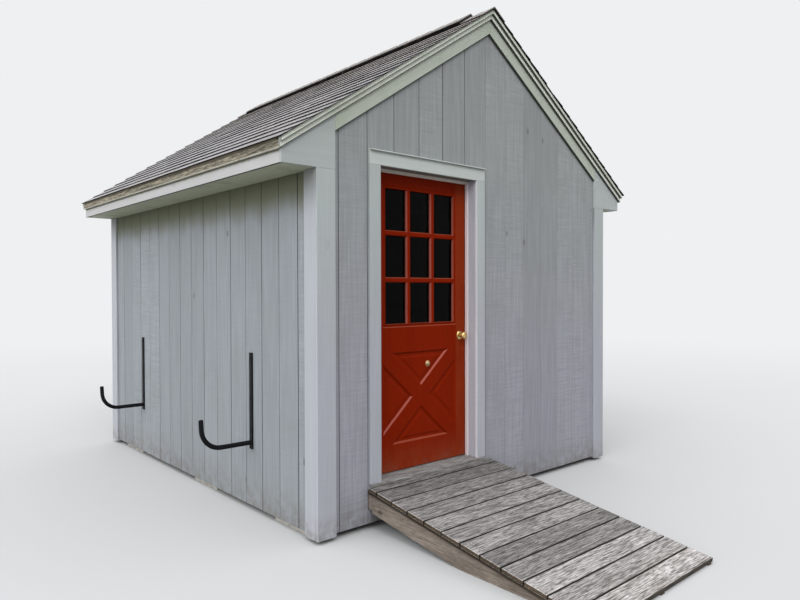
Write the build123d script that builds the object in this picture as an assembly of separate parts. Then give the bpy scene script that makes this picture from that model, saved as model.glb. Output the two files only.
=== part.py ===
"""Storage shed: a 10 by 12 ft gabled timber shed on blocks, with a glazed door, a ramp and a wall rack.

Millimetres. X runs along the door gable, Y from the door to the back, Z up. The origin is on the ground
at the centre of the footprint, under the middle foundation block. The door is hung on its left edge and
swings in; its knobs turn on a sprung spindle.
"""
from build123d import *

import os
from math import atan, ceil, cos, degrees, hypot, sin

os.makedirs("parts", exist_ok=True)

# Body over the corner boards
body_width = 3124.0
body_depth = 3734.0

# Wall build-up
trim_thickness = 19.0
siding_thickness = 19.0
sheathing_thickness = 12.0
stud_depth = 89.0
stud_thickness = 38.0
stud_spacing = 610.0

# Feet of the cladding above the ground, and heights from the door head to the roof
corner_board_bottom = 25.0
siding_bottom = 40.0
sheathing_bottom = 70.0
header_height = 128.0
heel_height = 105.0
fascia_height = 138.0

# Floor and foundation
block_width = 200.0
block_length = 400.0
block_height = 65.0
side_block_rows = (-1480.0, -210.0, 1370.0)
skid_width = 89.0
skid_height = 89.0
joist_depth = 89.0
joist_spacing = 455.0
deck_thickness = 19.0

# Roof
roof_slope = 8.0 / 12.0
roof_deck_thickness = 12.0
ridge_gap = 4.0
rafter_depth = 140.0
ridge_board_depth = 184.0
ridge_board_thickness = 19.0
eave_overhang = 242.0
soffit_thickness = 12.0
fascia_thickness = 19.0
eave_cap_height = 50.0
eave_cap_thickness = 16.0
course_count = 17
shingle_butt = 9.0
shingle_head = 4.0
shingle_drip = 15.0
vent_half_length = 1680.0
vent_width = 140.0
vent_thickness = 20.0
ridge_cap_width = 145.0
ridge_cap_thickness = 8.0
ridge_cap_step = 3.0
ridge_cap_exposure = 145.0

# Gable trim
rake_board_width = 140.0
rake_cap_width = 52.0
rake_drip_width = 23.0
rake_cap_thickness = 19.0
corner_board_width = 140.0

# Siding boards
board_exposure = 227.0
joint_width = 5.0
joint_depth = 7.0

# Doorway
opening_left = -1062.0
opening_width = 919.0
door_recess = 115.0
jamb_thickness = 19.0
stop_thickness = 12.0
head_stop_thickness = 20.0
stop_width = 25.0
stop_gap = 5.0
casing_width = 89.0
head_casing_width = 89.0
drip_cap_height = 14.0
drip_cap_nose = 16.0
sill_thickness = 38.0
sill_nose = 13.0
sill_fall = 6.0

# Door leaf
door_thickness = 44.0
door_height = 2032.0
door_gap = 7.0
door_head_gap = 15.0
door_bottom_gap = 6.0
stile_width = 100.0
top_rail_width = 78.0
lock_rail_bottom = 809.0
lock_rail_top = 982.0
bottom_rail_width = 181.0
glazing_frame_width = 25.0
frame_crown = 3.0
frame_slope = 14.0
frame_groove = 6.0
muntin_width = 36.0
muntin_chamfer = 6.0
lite_columns = 3
lite_rows = 3
glass_setback = 22.0
glass_thickness = 4.0
glass_clearance = 0.3
glass_bite = 8.0
crossed_member_width = 104.0
panel_recess = 10.0
panel_moulding = 14.0
panel_margin = 30.0
panel_field_bevel = 12.0
panel_field_rise = 5.0
backset = 57.0
knob_height = 901.0
bore_radius = 27.0
boss_height = 714.0
boss_offset = 68.0
boss_radius = 22.0
boss_reach = 15.0

# Door furniture
knob_radius = 27.0
knob_reach = 58.0
neck_radius = 10.0
knob_back = 28.0
brass_chamfer = 2.4
spindle_side = 9.0
spindle_bore = 8.0
rosette_radius = 33.5
rosette_thickness = 8.0
knob_clearance = 0.5
hinge_height = 89.0
hinge_leaf = 34.0
hinge_plate = 2.2
hinge_knuckles = 3
knuckle_radius = 6.5
knuckle_gap = 0.5
hinge_pin_radius = 3.0
pin_clearance = 0.3
hinge_offset = 7.0
hinge_inset = 180.0

# Ramp
ramp_left = -1182.0
ramp_width = 1162.0
ramp_top = 284.0
ramp_run = 1660.0
ramp_fall = 253.0
plank_width = 140.0
plank_gap = 6.0
plank_thickness = 25.0
stringer_depth = 140.0
stringer_thickness = 38.0
stringer_inset = 22.0
ledger_thickness = 38.0
ledger_height = 123.0
ramp_seat_gap = 2.0

# Wall rack
rack_spacing = 2060.0
rack_bar_bottom = 440.0
rack_bar_top = 1112.0
rack_bar_width = 38.0
rack_bar_thickness = 12.0
rack_arm_radius = 16.0
rack_arm_level = 486.0
rack_reach = 365.0
rack_bend = 140.0
rack_tip_level = 690.0
rack_tip_lean = 11.0


# Faces and levels that follow from the sizes above

trim_x = body_width / 2
trim_y = body_depth / 2
siding_x = trim_x - trim_thickness
siding_y = trim_y - trim_thickness
sheath_x = siding_x - siding_thickness
sheath_y = siding_y - siding_thickness
frame_x = sheath_x - sheathing_thickness
frame_y = sheath_y - sheathing_thickness
inner_x = frame_x - stud_depth
inner_y = frame_y - stud_depth

skid_top = block_height + skid_height
joist_top = skid_top + joist_depth
floor_top = joist_top + deck_thickness
sill_top = floor_top + sill_thickness

opening_right = opening_left + opening_width
rough_left = opening_left - jamb_thickness
rough_right = opening_right + jamb_thickness
door_left = opening_left + door_gap
door_right = opening_right - door_gap
door_width = door_right - door_left
door_middle = (door_left + door_right) / 2
door_bottom = sill_top + door_bottom_gap
door_top = door_bottom + door_height
door_face = -trim_y + door_recess
door_back = door_face + door_thickness
glass_middle = door_face + glass_setback + glass_thickness / 2
opening_top = door_top + door_head_gap
rough_top = opening_top + jamb_thickness
plate_top = rough_top + header_height

knob_x = door_right - backset
knob_z = door_bottom + knob_height
hinge_x = opening_left + door_gap / 2
hinge_y = door_back + hinge_offset

roof_cos = cos(atan(roof_slope))
deck_drop = roof_deck_thickness / roof_cos
rafter_drop = rafter_depth / roof_cos
fascia_x = trim_x + eave_overhang
eave_x = fascia_x + eave_cap_thickness
shingle_x = eave_x + shingle_drip
cap_y = trim_y + rake_cap_thickness
drip_y = cap_y + rake_cap_thickness
shingle_y = drip_y + shingle_drip
roof_peak = plate_top + heel_height + deck_drop + sheath_x * roof_slope
soffit_bottom = roof_peak - fascia_x * roof_slope - deck_drop - fascia_height

ramp_slope = ramp_fall / ramp_run
ramp_cos = cos(atan(ramp_slope))
ramp_back = -trim_y - sill_nose - ramp_seat_gap


def deck_top(x):
    """Height of the roof deck's upper face at a distance x from the ridge line."""
    return roof_peak - abs(x) * roof_slope


def block(x0, x1, y0, y1, z0, z1):
    """A squared timber or panel between two corners."""
    size = (x1 - x0, y1 - y0, z1 - z0)
    return Pos((x0 + x1) / 2, (y0 + y1) / 2, (z0 + z1) / 2) * Box(*size)


def slab_xz(points, y0, y1):
    """A flat piece drawn as an outline in X and Z, from y0 to y1."""
    outline = [(x, y0, z) for x, z in points]
    face = make_face(Polyline(*outline, close=True).edges())
    return Solid.extrude(face.face(), Vector(0, y1 - y0, 0))


def slab_xy(points, z0, z1):
    """A flat piece drawn as an outline in X and Y, from z0 to z1."""
    outline = [(x, y, z0) for x, y in points]
    face = make_face(Polyline(*outline, close=True).edges())
    return Solid.extrude(face.face(), Vector(0, 0, z1 - z0))


def slab_yz(points, x0, x1):
    """A flat piece drawn as an outline in Y and Z, from x0 to x1."""
    outline = [(x0, y, z) for y, z in points]
    face = make_face(Polyline(*outline, close=True).edges())
    return Solid.extrude(face.face(), Vector(x1 - x0, 0, 0))


def tapered(outer, y_outer, inner, y_inner):
    """A solid between two outlines in X and Z that stand at different depths."""
    wires = []
    for outline, y in ((outer, y_outer), (inner, y_inner)):
        points = [(x, y, z) for x, z in outline]
        wires.append(make_face(Polyline(*points, close=True).edges()).face().outer_wire())
    return Solid.make_loft(wires, ruled=True)


def flip_x(shape):
    """The same piece on the other side of the ridge line."""
    return mirror(shape, about=Plane.YZ)


def flip_y(shape):
    """The same piece on the back gable."""
    return mirror(shape, about=Plane.XZ)


def all_corners(shape):
    """The same piece at the four corners of the shed."""
    return [shape, flip_x(shape), flip_y(shape), flip_x(flip_y(shape))]


def positions(low, high, spacing):
    """Even stations from low to high, no further apart than the spacing."""
    bays = max(1, ceil((high - low) / spacing))
    return [low + (high - low) * i / bays for i in range(bays + 1)]


def save(node, *shapes):
    """Writes the solids of one sub-part to its own file."""
    solids = [solid for shape in shapes for solid in shape.solids()]
    export_step(Compound(label=node, children=solids), f"parts/{node}.step")


# Foundation and floor

def foundation_blocks():
    """Three rows of blocks under the skids; the side rows stand where they show under the left wall."""
    middle_rows = (-frame_y + block_length / 2, 0, frame_y - block_length / 2)
    side_x = frame_x - block_width / 2
    edge = 6.0
    for x, rows in ((-side_x, side_block_rows), (0, middle_rows), (side_x, side_block_rows)):
        for y in rows:
            body = Pos(x, y, block_height / 2) * Box(block_width, block_length, block_height)
            yield chamfer(body.edges().filter_by(Axis.Z), edge)


def floor_skids():
    for x in (-frame_x + skid_width / 2, 0, frame_x - skid_width / 2):
        yield block(x - skid_width / 2, x + skid_width / 2, -frame_y, frame_y, block_height, skid_top)


def floor_rims():
    """The two long timbers that the joists run between."""
    for x in (-frame_x, frame_x - stud_thickness):
        yield block(x, x + stud_thickness, -frame_y, frame_y, skid_top, joist_top)


def floor_joists():
    half = stud_thickness / 2
    end = frame_x - stud_thickness
    for y in positions(-frame_y + half, frame_y - half, joist_spacing):
        yield block(-end, end, y - half, y + half, skid_top, joist_top)


def floor_deck():
    return block(-frame_x, frame_x, -frame_y, frame_y, joist_top, floor_top)


# Framed walls: studs and plates fused to their sheathing

def framed_side_wall():
    """The left wall: sheathing outside, studs and plates inside."""
    wall = block(-sheath_x, -frame_x, -frame_y, frame_y, sheathing_bottom, plate_top)
    wall += block(-frame_x, -inner_x, -frame_y, frame_y, floor_top, floor_top + stud_thickness)
    wall += block(-frame_x, -inner_x, -frame_y, frame_y, plate_top - 2 * stud_thickness, plate_top)
    half = stud_thickness / 2
    for y in positions(-frame_y + half, frame_y - half, stud_spacing):
        wall += block(-frame_x, -inner_x, y - half, y + half, floor_top, plate_top)
    return wall


def ridge_board_top():
    return deck_top(ridge_board_thickness / 2) - deck_drop


def gable_outline(half_width, foot):
    """A gable under the roof deck, from the level of its foot up to the peak."""
    shoulder = deck_top(half_width) - deck_drop
    peak = roof_peak - deck_drop
    outline = [(-half_width, foot), (half_width, foot), (half_width, shoulder)]
    return outline + [(0, peak), (-half_width, shoulder)]


def studs_across(x0, x1, z0, z1):
    """Studs and plates of a wall across the front, between two edges."""
    wall = block(x0, x1, -frame_y, -inner_y, z0, z0 + stud_thickness)
    wall += block(x0, x1, -frame_y, -inner_y, z1 - stud_thickness, z1)
    half = stud_thickness / 2
    for x in positions(x0 + half, x1 - half, stud_spacing):
        wall += block(x - half, x + half, -frame_y, -inner_y, z0, z1)
    return wall


def front_wall_sides():
    """The front wall on either side of the doorway."""
    for x0, x1, outer in ((-inner_x, rough_left, -sheath_x), (rough_right, inner_x, sheath_x)):
        sheath = (min(outer, x0), max(outer, x1))
        wall = studs_across(x0, x1, floor_top, rough_top)
        yield wall + block(*sheath, -sheath_y, -frame_y, sheathing_bottom, rough_top)


def gable_frame(foot):
    """Sheathing, header and short studs of a gable, above the level of its foot."""
    wall = slab_xz(gable_outline(sheath_x, foot), -sheath_y, -frame_y)
    wall += block(-inner_x, inner_x, -frame_y, -inner_y, plate_top - 2 * stud_thickness, plate_top)
    half = stud_thickness / 2
    for x in positions(-inner_x + half, inner_x - half, stud_spacing):
        under_rafter = deck_top(abs(x) + half) - deck_drop - rafter_drop
        top = min(under_rafter, ridge_board_top() - ridge_board_depth)
        wall += block(x - half, x + half, -frame_y, -inner_y, foot, max(top, plate_top))
    return wall


def front_wall_gable():
    wall = gable_frame(rough_top)
    return wall + block(-inner_x, inner_x, -frame_y, -inner_y, rough_top, rough_top + stud_thickness)


def back_wall():
    wall = gable_frame(floor_top)
    wall += block(-inner_x, inner_x, -frame_y, -inner_y, floor_top, floor_top + stud_thickness)
    wall += block(-sheath_x, sheath_x, -sheath_y, -frame_y, sheathing_bottom, floor_top)
    return flip_y(wall)


# Siding: vertical boards with a narrow open joint, one skin to a wall

def joint_lines(low, high):
    """Joints between the boards that fall between two edges, counted from the wall's middle."""
    count = int(max(abs(low), abs(high)) / board_exposure) + 1
    lines = [board_exposure * i for i in range(-count, count + 1)]
    return [line for line in lines if low + joint_width < line < high - joint_width]


def grooved_front(skin, low, high):
    """Cuts the board joints into a skin that faces the door side."""
    for x in joint_lines(low, high):
        half = joint_width / 2
        skin -= block(x - half, x + half, -siding_y, -siding_y + joint_depth, 0, roof_peak)
    return skin


def front_siding_sides():
    for x0, x1 in ((-siding_x, rough_left), (rough_right, siding_x)):
        yield grooved_front(block(x0, x1, -siding_y, -sheath_y, siding_bottom, rough_top), x0, x1)


def front_siding_gable():
    skin = slab_xz(gable_outline(siding_x, rough_top), -siding_y, -sheath_y)
    return grooved_front(skin, -siding_x, siding_x)


def back_siding():
    skin = slab_xz(gable_outline(siding_x, siding_bottom), -siding_y, -sheath_y)
    return flip_y(grooved_front(skin, -siding_x, siding_x))


def side_siding():
    skin = block(-siding_x, -sheath_x, -sheath_y, sheath_y, siding_bottom, soffit_bottom)
    for y in joint_lines(-sheath_y, sheath_y):
        half = joint_width / 2
        skin -= block(-siding_x, -siding_x + joint_depth, y - half, y + half, 0, soffit_bottom)
    return skin


def front_skirt():
    """The boards under the sill, over the ends of the floor frame."""
    skirt = block(rough_left, rough_right, -siding_y, -sheath_y, siding_bottom, floor_top)
    return skirt + block(rough_left, rough_right, -sheath_y, -frame_y, sheathing_bottom, floor_top)


# Corner boards

def corner_board():
    """The front left corner: two boards lapped into an angle."""
    levels = (corner_board_bottom, soffit_bottom)
    face = block(-trim_x, -trim_x + corner_board_width, -trim_y, -siding_y, *levels)
    return face + block(-trim_x, -siding_x, -siding_y, -trim_y + corner_board_width, *levels)


# Roof frame

def rafter(y):
    """A left rafter with its birdsmouth on the plate and its tail cut level for the soffit."""
    ridge_x = ridge_board_thickness / 2
    top = [(-fascia_x + fascia_thickness, deck_top(fascia_x - fascia_thickness) - deck_drop)]
    top.append((-ridge_x, deck_top(ridge_x) - deck_drop))
    ridge_foot = (-ridge_x, deck_top(ridge_x) - deck_drop - rafter_drop)
    seat_x = (roof_peak - deck_drop - rafter_drop - plate_top) / roof_slope
    heel_foot = (-sheath_x, deck_top(sheath_x) - deck_drop - rafter_drop)
    soffit_top = soffit_bottom + soffit_thickness
    level_x = (roof_peak - deck_drop - rafter_drop - soffit_top) / roof_slope
    tail_x = fascia_x - fascia_thickness
    tail = [(-level_x, soffit_top), (-tail_x, soffit_top)] if level_x < tail_x else []
    points = top + [ridge_foot, (-seat_x, plate_top), (-sheath_x, plate_top), heel_foot] + tail
    return slab_xz(points, y - stud_thickness / 2, y + stud_thickness / 2)


def rafter_stations():
    half = stud_thickness / 2
    return positions(-frame_y + half, frame_y - half, stud_spacing)


def ridge_board():
    top = ridge_board_top()
    half = ridge_board_thickness / 2
    return block(-half, half, -frame_y, frame_y, top - ridge_board_depth, top)


def roof_deck():
    """The left slope's boarding, from the open joint at the ridge to the eave strip."""
    start = ridge_gap / 2
    points = [(-start, deck_top(start)), (-eave_x, deck_top(eave_x))]
    points += [(-eave_x, deck_top(eave_x) - deck_drop), (-start, deck_top(start) - deck_drop)]
    return slab_xz(points, -siding_y, siding_y)


# Roof covering

def shingle_slope():
    """The left slope's courses: each one thickens to its butt and steps down onto the next."""
    run = shingle_x / course_count
    head = shingle_head / roof_cos
    butt = shingle_butt / roof_cos
    start = ridge_gap / 2
    points = [(-start, deck_top(start)), (-start, deck_top(start) + head)]
    for course in range(course_count):
        x = run * (course + 1)
        points.append((-x, deck_top(x) + butt))
        if course < course_count - 1:
            points.append((-x, deck_top(x) + head))
    points.append((-shingle_x, deck_top(shingle_x)))
    return slab_xz(points, -shingle_y, shingle_y)


def folded(strip, height):
    """A strip drawn level, laid down both slopes at a height over the deck and joined at the ridge."""
    seat = roof_peak + height / roof_cos
    laid = Pos(0, 0, seat) * Rot(0, -degrees(atan(roof_slope)), 0) * strip
    reach = 2 * ridge_cap_width
    half = laid & block(-reach, 0, -shingle_y, shingle_y, seat - reach, seat + reach)
    return half + flip_x(half)


def ridge_vent():
    """The slotted vent strip that lifts the cap; it stops short of both gables."""
    end = vent_half_length
    points = [(-end, 0), (end, 0), (end, vent_thickness), (-end, vent_thickness)]
    return folded(slab_yz(points, -vent_width, vent_thickness), shingle_butt)


def cap_strip(y0, y1):
    """Cap shingles in a row, each lapping the one behind it."""
    count = max(1, round((y1 - y0) / ridge_cap_exposure))
    length = (y1 - y0) / count
    points = [(y0, 0)]
    for i in range(count):
        y = y0 + i * length
        points += [(y, ridge_cap_thickness), (y + length, ridge_cap_thickness - ridge_cap_step)]
    points.append((y1, 0))
    return slab_yz(points, -ridge_cap_width, vent_thickness)


def ridge_caps():
    """One row over the vent, and a short one bedded on the roof at either gable."""
    end = vent_half_length
    yield folded(cap_strip(-end, end), shingle_butt + vent_thickness)
    yield folded(cap_strip(-shingle_y, -end), shingle_butt)
    yield folded(cap_strip(end, shingle_y), shingle_butt)


# Eaves and gable trim

def soffit():
    """The level boarding under the rafter tails, notched round the ends of the gable siding."""
    outer = -fascia_x + fascia_thickness
    top = soffit_bottom + soffit_thickness
    board = block(outer, -siding_x, -siding_y, siding_y, soffit_bottom, top)
    return board + block(-siding_x, -sheath_x, -sheath_y, sheath_y, soffit_bottom, top)


def fascia():
    inner = fascia_x - fascia_thickness
    points = [(-fascia_x, soffit_bottom), (-inner, soffit_bottom), (-inner, deck_top(inner) - deck_drop)]
    points.append((-fascia_x, deck_top(fascia_x) - deck_drop))
    return slab_xz(points, -siding_y, siding_y)


def eave_cap():
    """The bare strip nailed over the top of the fascia."""
    foot = deck_top(eave_x) - deck_drop - eave_cap_height
    points = [(-eave_x, foot), (-fascia_x, foot), (-fascia_x, deck_top(fascia_x) - deck_drop)]
    points.append((-eave_x, deck_top(eave_x) - deck_drop))
    return slab_xz(points, -trim_y, trim_y)


def eave_return():
    """The wide plumb-cut end of the gable trim, closing the soffit box."""
    inner = trim_x - corner_board_width
    points = [(-fascia_x, soffit_bottom), (-inner, soffit_bottom), (-inner, deck_top(inner))]
    points.append((-fascia_x, deck_top(fascia_x)))
    return slab_xz(points, -trim_y, -siding_y)


def rake_band(outer, width, y0, y1):
    """A sloping board under the roof's edge, from a distance outside the ridge line to the ridge line."""
    drop = width / roof_cos
    foot = deck_top(outer)
    return slab_xz([(-outer, foot), (0, roof_peak), (0, roof_peak - drop), (-outer, foot - drop)], y0, y1)


def rake_board():
    return rake_band(trim_x - corner_board_width, rake_board_width, -trim_y, -siding_y)


def rake_caps():
    """The stepped crown strips, one proud of the other."""
    caps = rake_band(eave_x, rake_cap_width, -cap_y, -trim_y)
    return caps + rake_band(eave_x, rake_drip_width, -drip_y, -cap_y)


# Doorway

def side_jamb():
    """The hinge jamb with its stop; the latch jamb is its mirror about the opening."""
    jamb = block(rough_left, opening_left, -siding_y, door_back, sill_top, opening_top)
    stop_end = door_face - stop_gap
    stop_edge = opening_left + stop_thickness
    return jamb + block(opening_left, stop_edge, stop_end - stop_width, stop_end, sill_top, opening_top)


def latch_jamb():
    return Pos(2 * door_middle, 0, 0) * flip_x(side_jamb())


def head_jamb():
    head = block(rough_left, rough_right, -siding_y, door_back, opening_top, rough_top)
    left = opening_left + stop_thickness
    right = opening_right - stop_thickness
    end = door_face - stop_gap
    low = opening_top - head_stop_thickness
    return head + block(left, right, end - stop_width, end, low, opening_top)


def door_sill():
    """A sill under the jambs and the leaf; its nose falls outwards and its horns carry the casings."""
    nose = -trim_y - sill_nose
    points = [(-siding_y, floor_top), (-siding_y, sill_top), (nose, sill_top - sill_fall), (nose, floor_top)]
    sill = slab_yz(points, opening_left, opening_right)
    sill += block(rough_left, rough_right, -siding_y, door_back, floor_top, sill_top)
    horn_left = opening_left - casing_width
    horn_right = opening_right + casing_width
    return sill + block(horn_left, horn_right, nose, -siding_y, floor_top, sill_top - sill_fall)


def side_casings():
    foot = sill_top - sill_fall
    yield block(opening_left - casing_width, opening_left, -trim_y, -siding_y, foot, opening_top)
    yield block(opening_right, opening_right + casing_width, -trim_y, -siding_y, foot, opening_top)


def head_casing():
    """The board over the door, under a drip cap that stands out past it."""
    left = opening_left - casing_width
    right = opening_right + casing_width
    top = opening_top + head_casing_width
    cap = [(-siding_y, top), (-siding_y, top + drip_cap_height)]
    cap += [(-trim_y - drip_cap_nose, top + drip_cap_height / 2), (-trim_y - drip_cap_nose, top)]
    return block(left, right, -trim_y, -siding_y, opening_top, top) + slab_yz(cap, left, right)


# Door leaf

def glazed_zone():
    """Left, right, bottom and top of the glazed zone, inside its frame."""
    side = stile_width + glazing_frame_width
    bottom = door_bottom + lock_rail_top + glazing_frame_width
    top = door_top - top_rail_width - glazing_frame_width
    return (door_left + side, door_right - side, bottom, top)


def around_glazing(margin):
    """The outline of the glazed zone, grown by an even margin."""
    left, right, low, high = glazed_zone()
    left -= margin
    right += margin
    low -= margin
    high += margin
    return [(left, low), (right, low), (right, high), (left, high)]


def frame_groove_wedge(face, inward):
    """The valley round the frame of the glazing: a long slope down from it, then a short one up."""
    bed = face + inward * frame_groove
    foot = around_glazing(frame_crown + frame_slope)
    valley = tapered(around_glazing(glazing_frame_width), face, foot, bed)
    return valley - tapered(around_glazing(frame_crown), face, foot, bed)


def bar_section(middle, face, inward, depth):
    """A glazing bar across its width: chamfered at the face, square at the glass."""
    half = muntin_width / 2
    flat = half - muntin_chamfer
    shoulder = face + inward * muntin_chamfer
    end = face + inward * depth
    section = [(middle - half, end), (middle - half, shoulder), (middle - flat, face)]
    return section + [(middle + flat, face), (middle + half, shoulder), (middle + half, end)]


def glazing_bars(face, inward):
    """The bars on one side of the glass, run out to the crown of the frame."""
    left, right, low, high = glazed_zone()
    depth = abs(glass_middle - face) - glass_thickness / 2 - glass_clearance
    grow = frame_crown
    bars = []
    pitch = (right - left + muntin_width) / lite_columns
    for i in range(1, lite_columns):
        section = bar_section(left + i * pitch - muntin_width / 2, face, inward, depth)
        bars.append(slab_xy(section, low - grow, high + grow))
    pitch = (high - low + muntin_width) / lite_rows
    for i in range(1, lite_rows):
        section = bar_section(low + i * pitch - muntin_width / 2, face, inward, depth)
        bars.append(slab_yz([(y, z) for z, y in section], left - grow, right + grow))
    return bars


def panel_triangles():
    """Corners of the four panels between the crossed members of the leaf's lower part."""
    half_run = door_width / 2 - stile_width
    half_rise = (lock_rail_bottom - bottom_rail_width) / 2
    middle = door_bottom + bottom_rail_width + half_rise
    slope = half_rise / half_run
    up = crossed_member_width / 2 / cos(atan(slope))
    across = up / slope
    spread = half_run - across
    climb = half_rise - up
    x = door_middle
    for side in (-1, 1):
        edge = middle + side * half_rise
        yield [(x, middle + side * up), (x - spread, edge), (x + spread, edge)]
        edge = x + side * half_run
        yield [(x + side * across, middle), (edge, middle - climb), (edge, middle + climb)]


def inset(corners, margin):
    """A triangle drawn in by an even margin on all sides."""
    (ax, az), (bx, bz), (cx, cz) = corners
    a = hypot(bx - cx, bz - cz)
    b = hypot(cx - ax, cz - az)
    c = hypot(ax - bx, az - bz)
    around = a + b + c
    x = (a * ax + b * bx + c * cx) / around
    z = (a * az + b * bz + c * cz) / around
    inradius = abs((bx - ax) * (cz - az) - (cx - ax) * (bz - az)) / around
    keep = 1 - margin / inradius
    return [(x + (u - x) * keep, z + (w - z) * keep) for u, w in corners]


def panel_recess_wedge(corners, face, inward):
    return tapered(corners, face, inset(corners, panel_moulding), face + inward * panel_recess)


def panel_field(corners, face, inward):
    """The raised middle of a panel."""
    bed = face + inward * panel_recess
    crown = bed - inward * panel_field_rise
    foot = inset(corners, panel_margin)
    return tapered(foot, bed, inset(corners, panel_margin + panel_field_bevel), crown)


def door_leaf():
    """Stiles, rails and crossed members worked from one blank, with a slot for the glass."""
    left, right, low, high = glazed_zone()
    leaf = block(door_left, door_right, door_face, door_back, door_bottom, door_top)
    leaf -= block(left, right, door_face, door_back, low, high)
    for face, inward in ((door_face, 1), (door_back, -1)):
        leaf -= frame_groove_wedge(face, inward)
        for bar in glazing_bars(face, inward):
            leaf += bar
        for corners in panel_triangles():
            leaf -= panel_recess_wedge(corners, face, inward)
            leaf += panel_field(corners, face, inward)
    slot = glass_thickness / 2 + glass_clearance
    slot_faces = (glass_middle - slot, glass_middle + slot)
    bite = glass_bite
    leaf -= block(left - bite, right + bite, *slot_faces, low - bite, high + bite)
    bore = Cylinder(bore_radius, 2 * door_thickness)
    return leaf - Pos(knob_x, (door_face + door_back) / 2, knob_z) * Rot(90, 0, 0) * bore


def door_glass():
    left, right, low, high = glazed_zone()
    bite = glass_bite - glass_clearance
    faces = (glass_middle - glass_thickness / 2, glass_middle + glass_thickness / 2)
    return block(left - bite, right + bite, *faces, low - bite, high + bite)


def turned(profile, x, y, z, outward):
    """Turns a profile of radius and reach about the Y axis, starting at y; outward is -1 or 1."""
    points = [(x + radius, y + outward * reach, z) for radius, reach in profile]
    face = make_face(Polyline(*points, close=True).edges())
    return Solid.revolve(face.face(), 360, Axis((x, y, z), (0, 1, 0)))


def rosettes():
    """A plain round plate on either side of the leaf."""
    for y, outward in ((door_face, -1), (door_back, 1)):
        profile = [(spindle_bore, 0), (rosette_radius, 0)]
        profile += [(rosette_radius, rosette_thickness), (spindle_bore, rosette_thickness)]
        yield turned(profile, knob_x, y, knob_z, outward)


def door_knobs():
    """Both knobs and the square spindle that joins them through the leaf."""
    middle = (door_face + door_back) / 2
    neck_start = rosette_thickness + knob_clearance
    length = door_thickness + 2 * neck_start
    knobs = Pos(knob_x, middle, knob_z) * Box(spindle_side, length, spindle_side)
    edge = knob_radius - brass_chamfer
    for y, outward in ((door_face, -1), (door_back, 1)):
        profile = [(0, neck_start), (neck_radius, neck_start), (neck_radius, knob_back)]
        profile += [(edge, knob_back), (knob_radius, knob_back + brass_chamfer)]
        profile += [(knob_radius, knob_reach - brass_chamfer), (edge, knob_reach), (0, knob_reach)]
        knobs += turned(profile, knob_x, y, knob_z, outward)
    return knobs


def door_boss():
    """The small raised brass disc on the upper panel, between its middle and its latch corner."""
    bed = door_face + panel_recess - panel_field_rise
    profile = [(0, 0), (boss_radius, 0), (boss_radius, boss_reach - brass_chamfer)]
    profile += [(boss_radius - brass_chamfer, boss_reach), (0, boss_reach)]
    return turned(profile, door_middle + boss_offset, bed, door_bottom + boss_height, -1)


# Hinges: knuckles of both leaves in turn on one pin

def hinge_levels():
    """Centre heights of the three hinges."""
    top = door_top - hinge_inset
    bottom = door_bottom + hinge_inset
    return (bottom, (top + bottom) / 2, top)


def hinge_rod(z, radius, length):
    return Pos(hinge_x, hinge_y, z) * Cylinder(radius, length)


def hinge_half(z, on_door):
    """One leaf with its share of the knuckles; the jamb's half carries the pin."""
    pitch = hinge_height / hinge_knuckles
    foot = z - hinge_height / 2
    first = 1 if on_door else 0
    levels = [foot + i * pitch for i in range(hinge_knuckles)]
    plate_x = door_left - hinge_plate if on_door else opening_left
    plate_end = plate_x + hinge_plate
    half = block(plate_x, plate_end, door_back - hinge_leaf, hinge_y, foot, foot + hinge_height)
    clear = knuckle_radius + knuckle_gap
    notch = (hinge_x - clear, hinge_x + clear, door_back + knuckle_gap, hinge_y + clear)
    for low in levels[1 - first::2]:
        half -= block(*notch, low - knuckle_gap, low + pitch + knuckle_gap)
    for low in levels[first::2]:
        half += hinge_rod(low + pitch / 2, knuckle_radius, pitch - knuckle_gap)
    if on_door:
        return half - hinge_rod(z, hinge_pin_radius + pin_clearance, hinge_height)
    return half + hinge_rod(z, hinge_pin_radius, hinge_height)


# Ramp

def ramp_level(y):
    """Height of the planks' upper face at y."""
    return ramp_top + (y - ramp_back) * ramp_slope


def above_ground(shape, back):
    """The part of a ramp timber that is above the ground and in front of the line where it stops."""
    reach = 2 * ramp_run
    return shape & block(ramp_left - reach, ramp_left + reach, back - reach, back, 0, reach)


def ramp_planks():
    """Boards laid across the stringers, the top one ripped narrow, the last one bedded on the ground."""
    length = ramp_run / ramp_cos
    pitch = plank_width + plank_gap
    whole = int(length / pitch)
    first = length - whole * pitch
    ends = [0.0, first]
    for i in range(whole):
        ends += [ends[-1] + plank_gap, ends[-1] + pitch]
    fall = sin(atan(ramp_slope))
    for start, end in zip(ends[0::2], ends[1::2]):
        corners = []
        for along, down in ((start, 0), (end, 0), (end, plank_thickness), (start, plank_thickness)):
            y = ramp_back - along * ramp_cos + down * fall
            z = ramp_top - along * fall - down * ramp_cos
            corners.append((y, z))
        yield above_ground(slab_yz(corners, ramp_left, ramp_left + ramp_width), ramp_back)


def ramp_stringers():
    """Three joists on edge, cut level where they meet the ground."""
    under = plank_thickness / ramp_cos
    deep = (plank_thickness + stringer_depth) / ramp_cos
    back = -siding_y - ledger_thickness
    front = ramp_back - ramp_run
    points = [(back, ramp_level(back) - under), (back, ramp_level(back) - deep)]
    points += [(front, ramp_level(front) - deep), (front, ramp_level(front) - under)]
    last = ramp_left + ramp_width - stringer_inset - stringer_thickness
    first = ramp_left + stringer_inset
    for x in (first, (first + last) / 2, last):
        yield above_ground(slab_yz(points, x, x + stringer_thickness), back)


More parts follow.
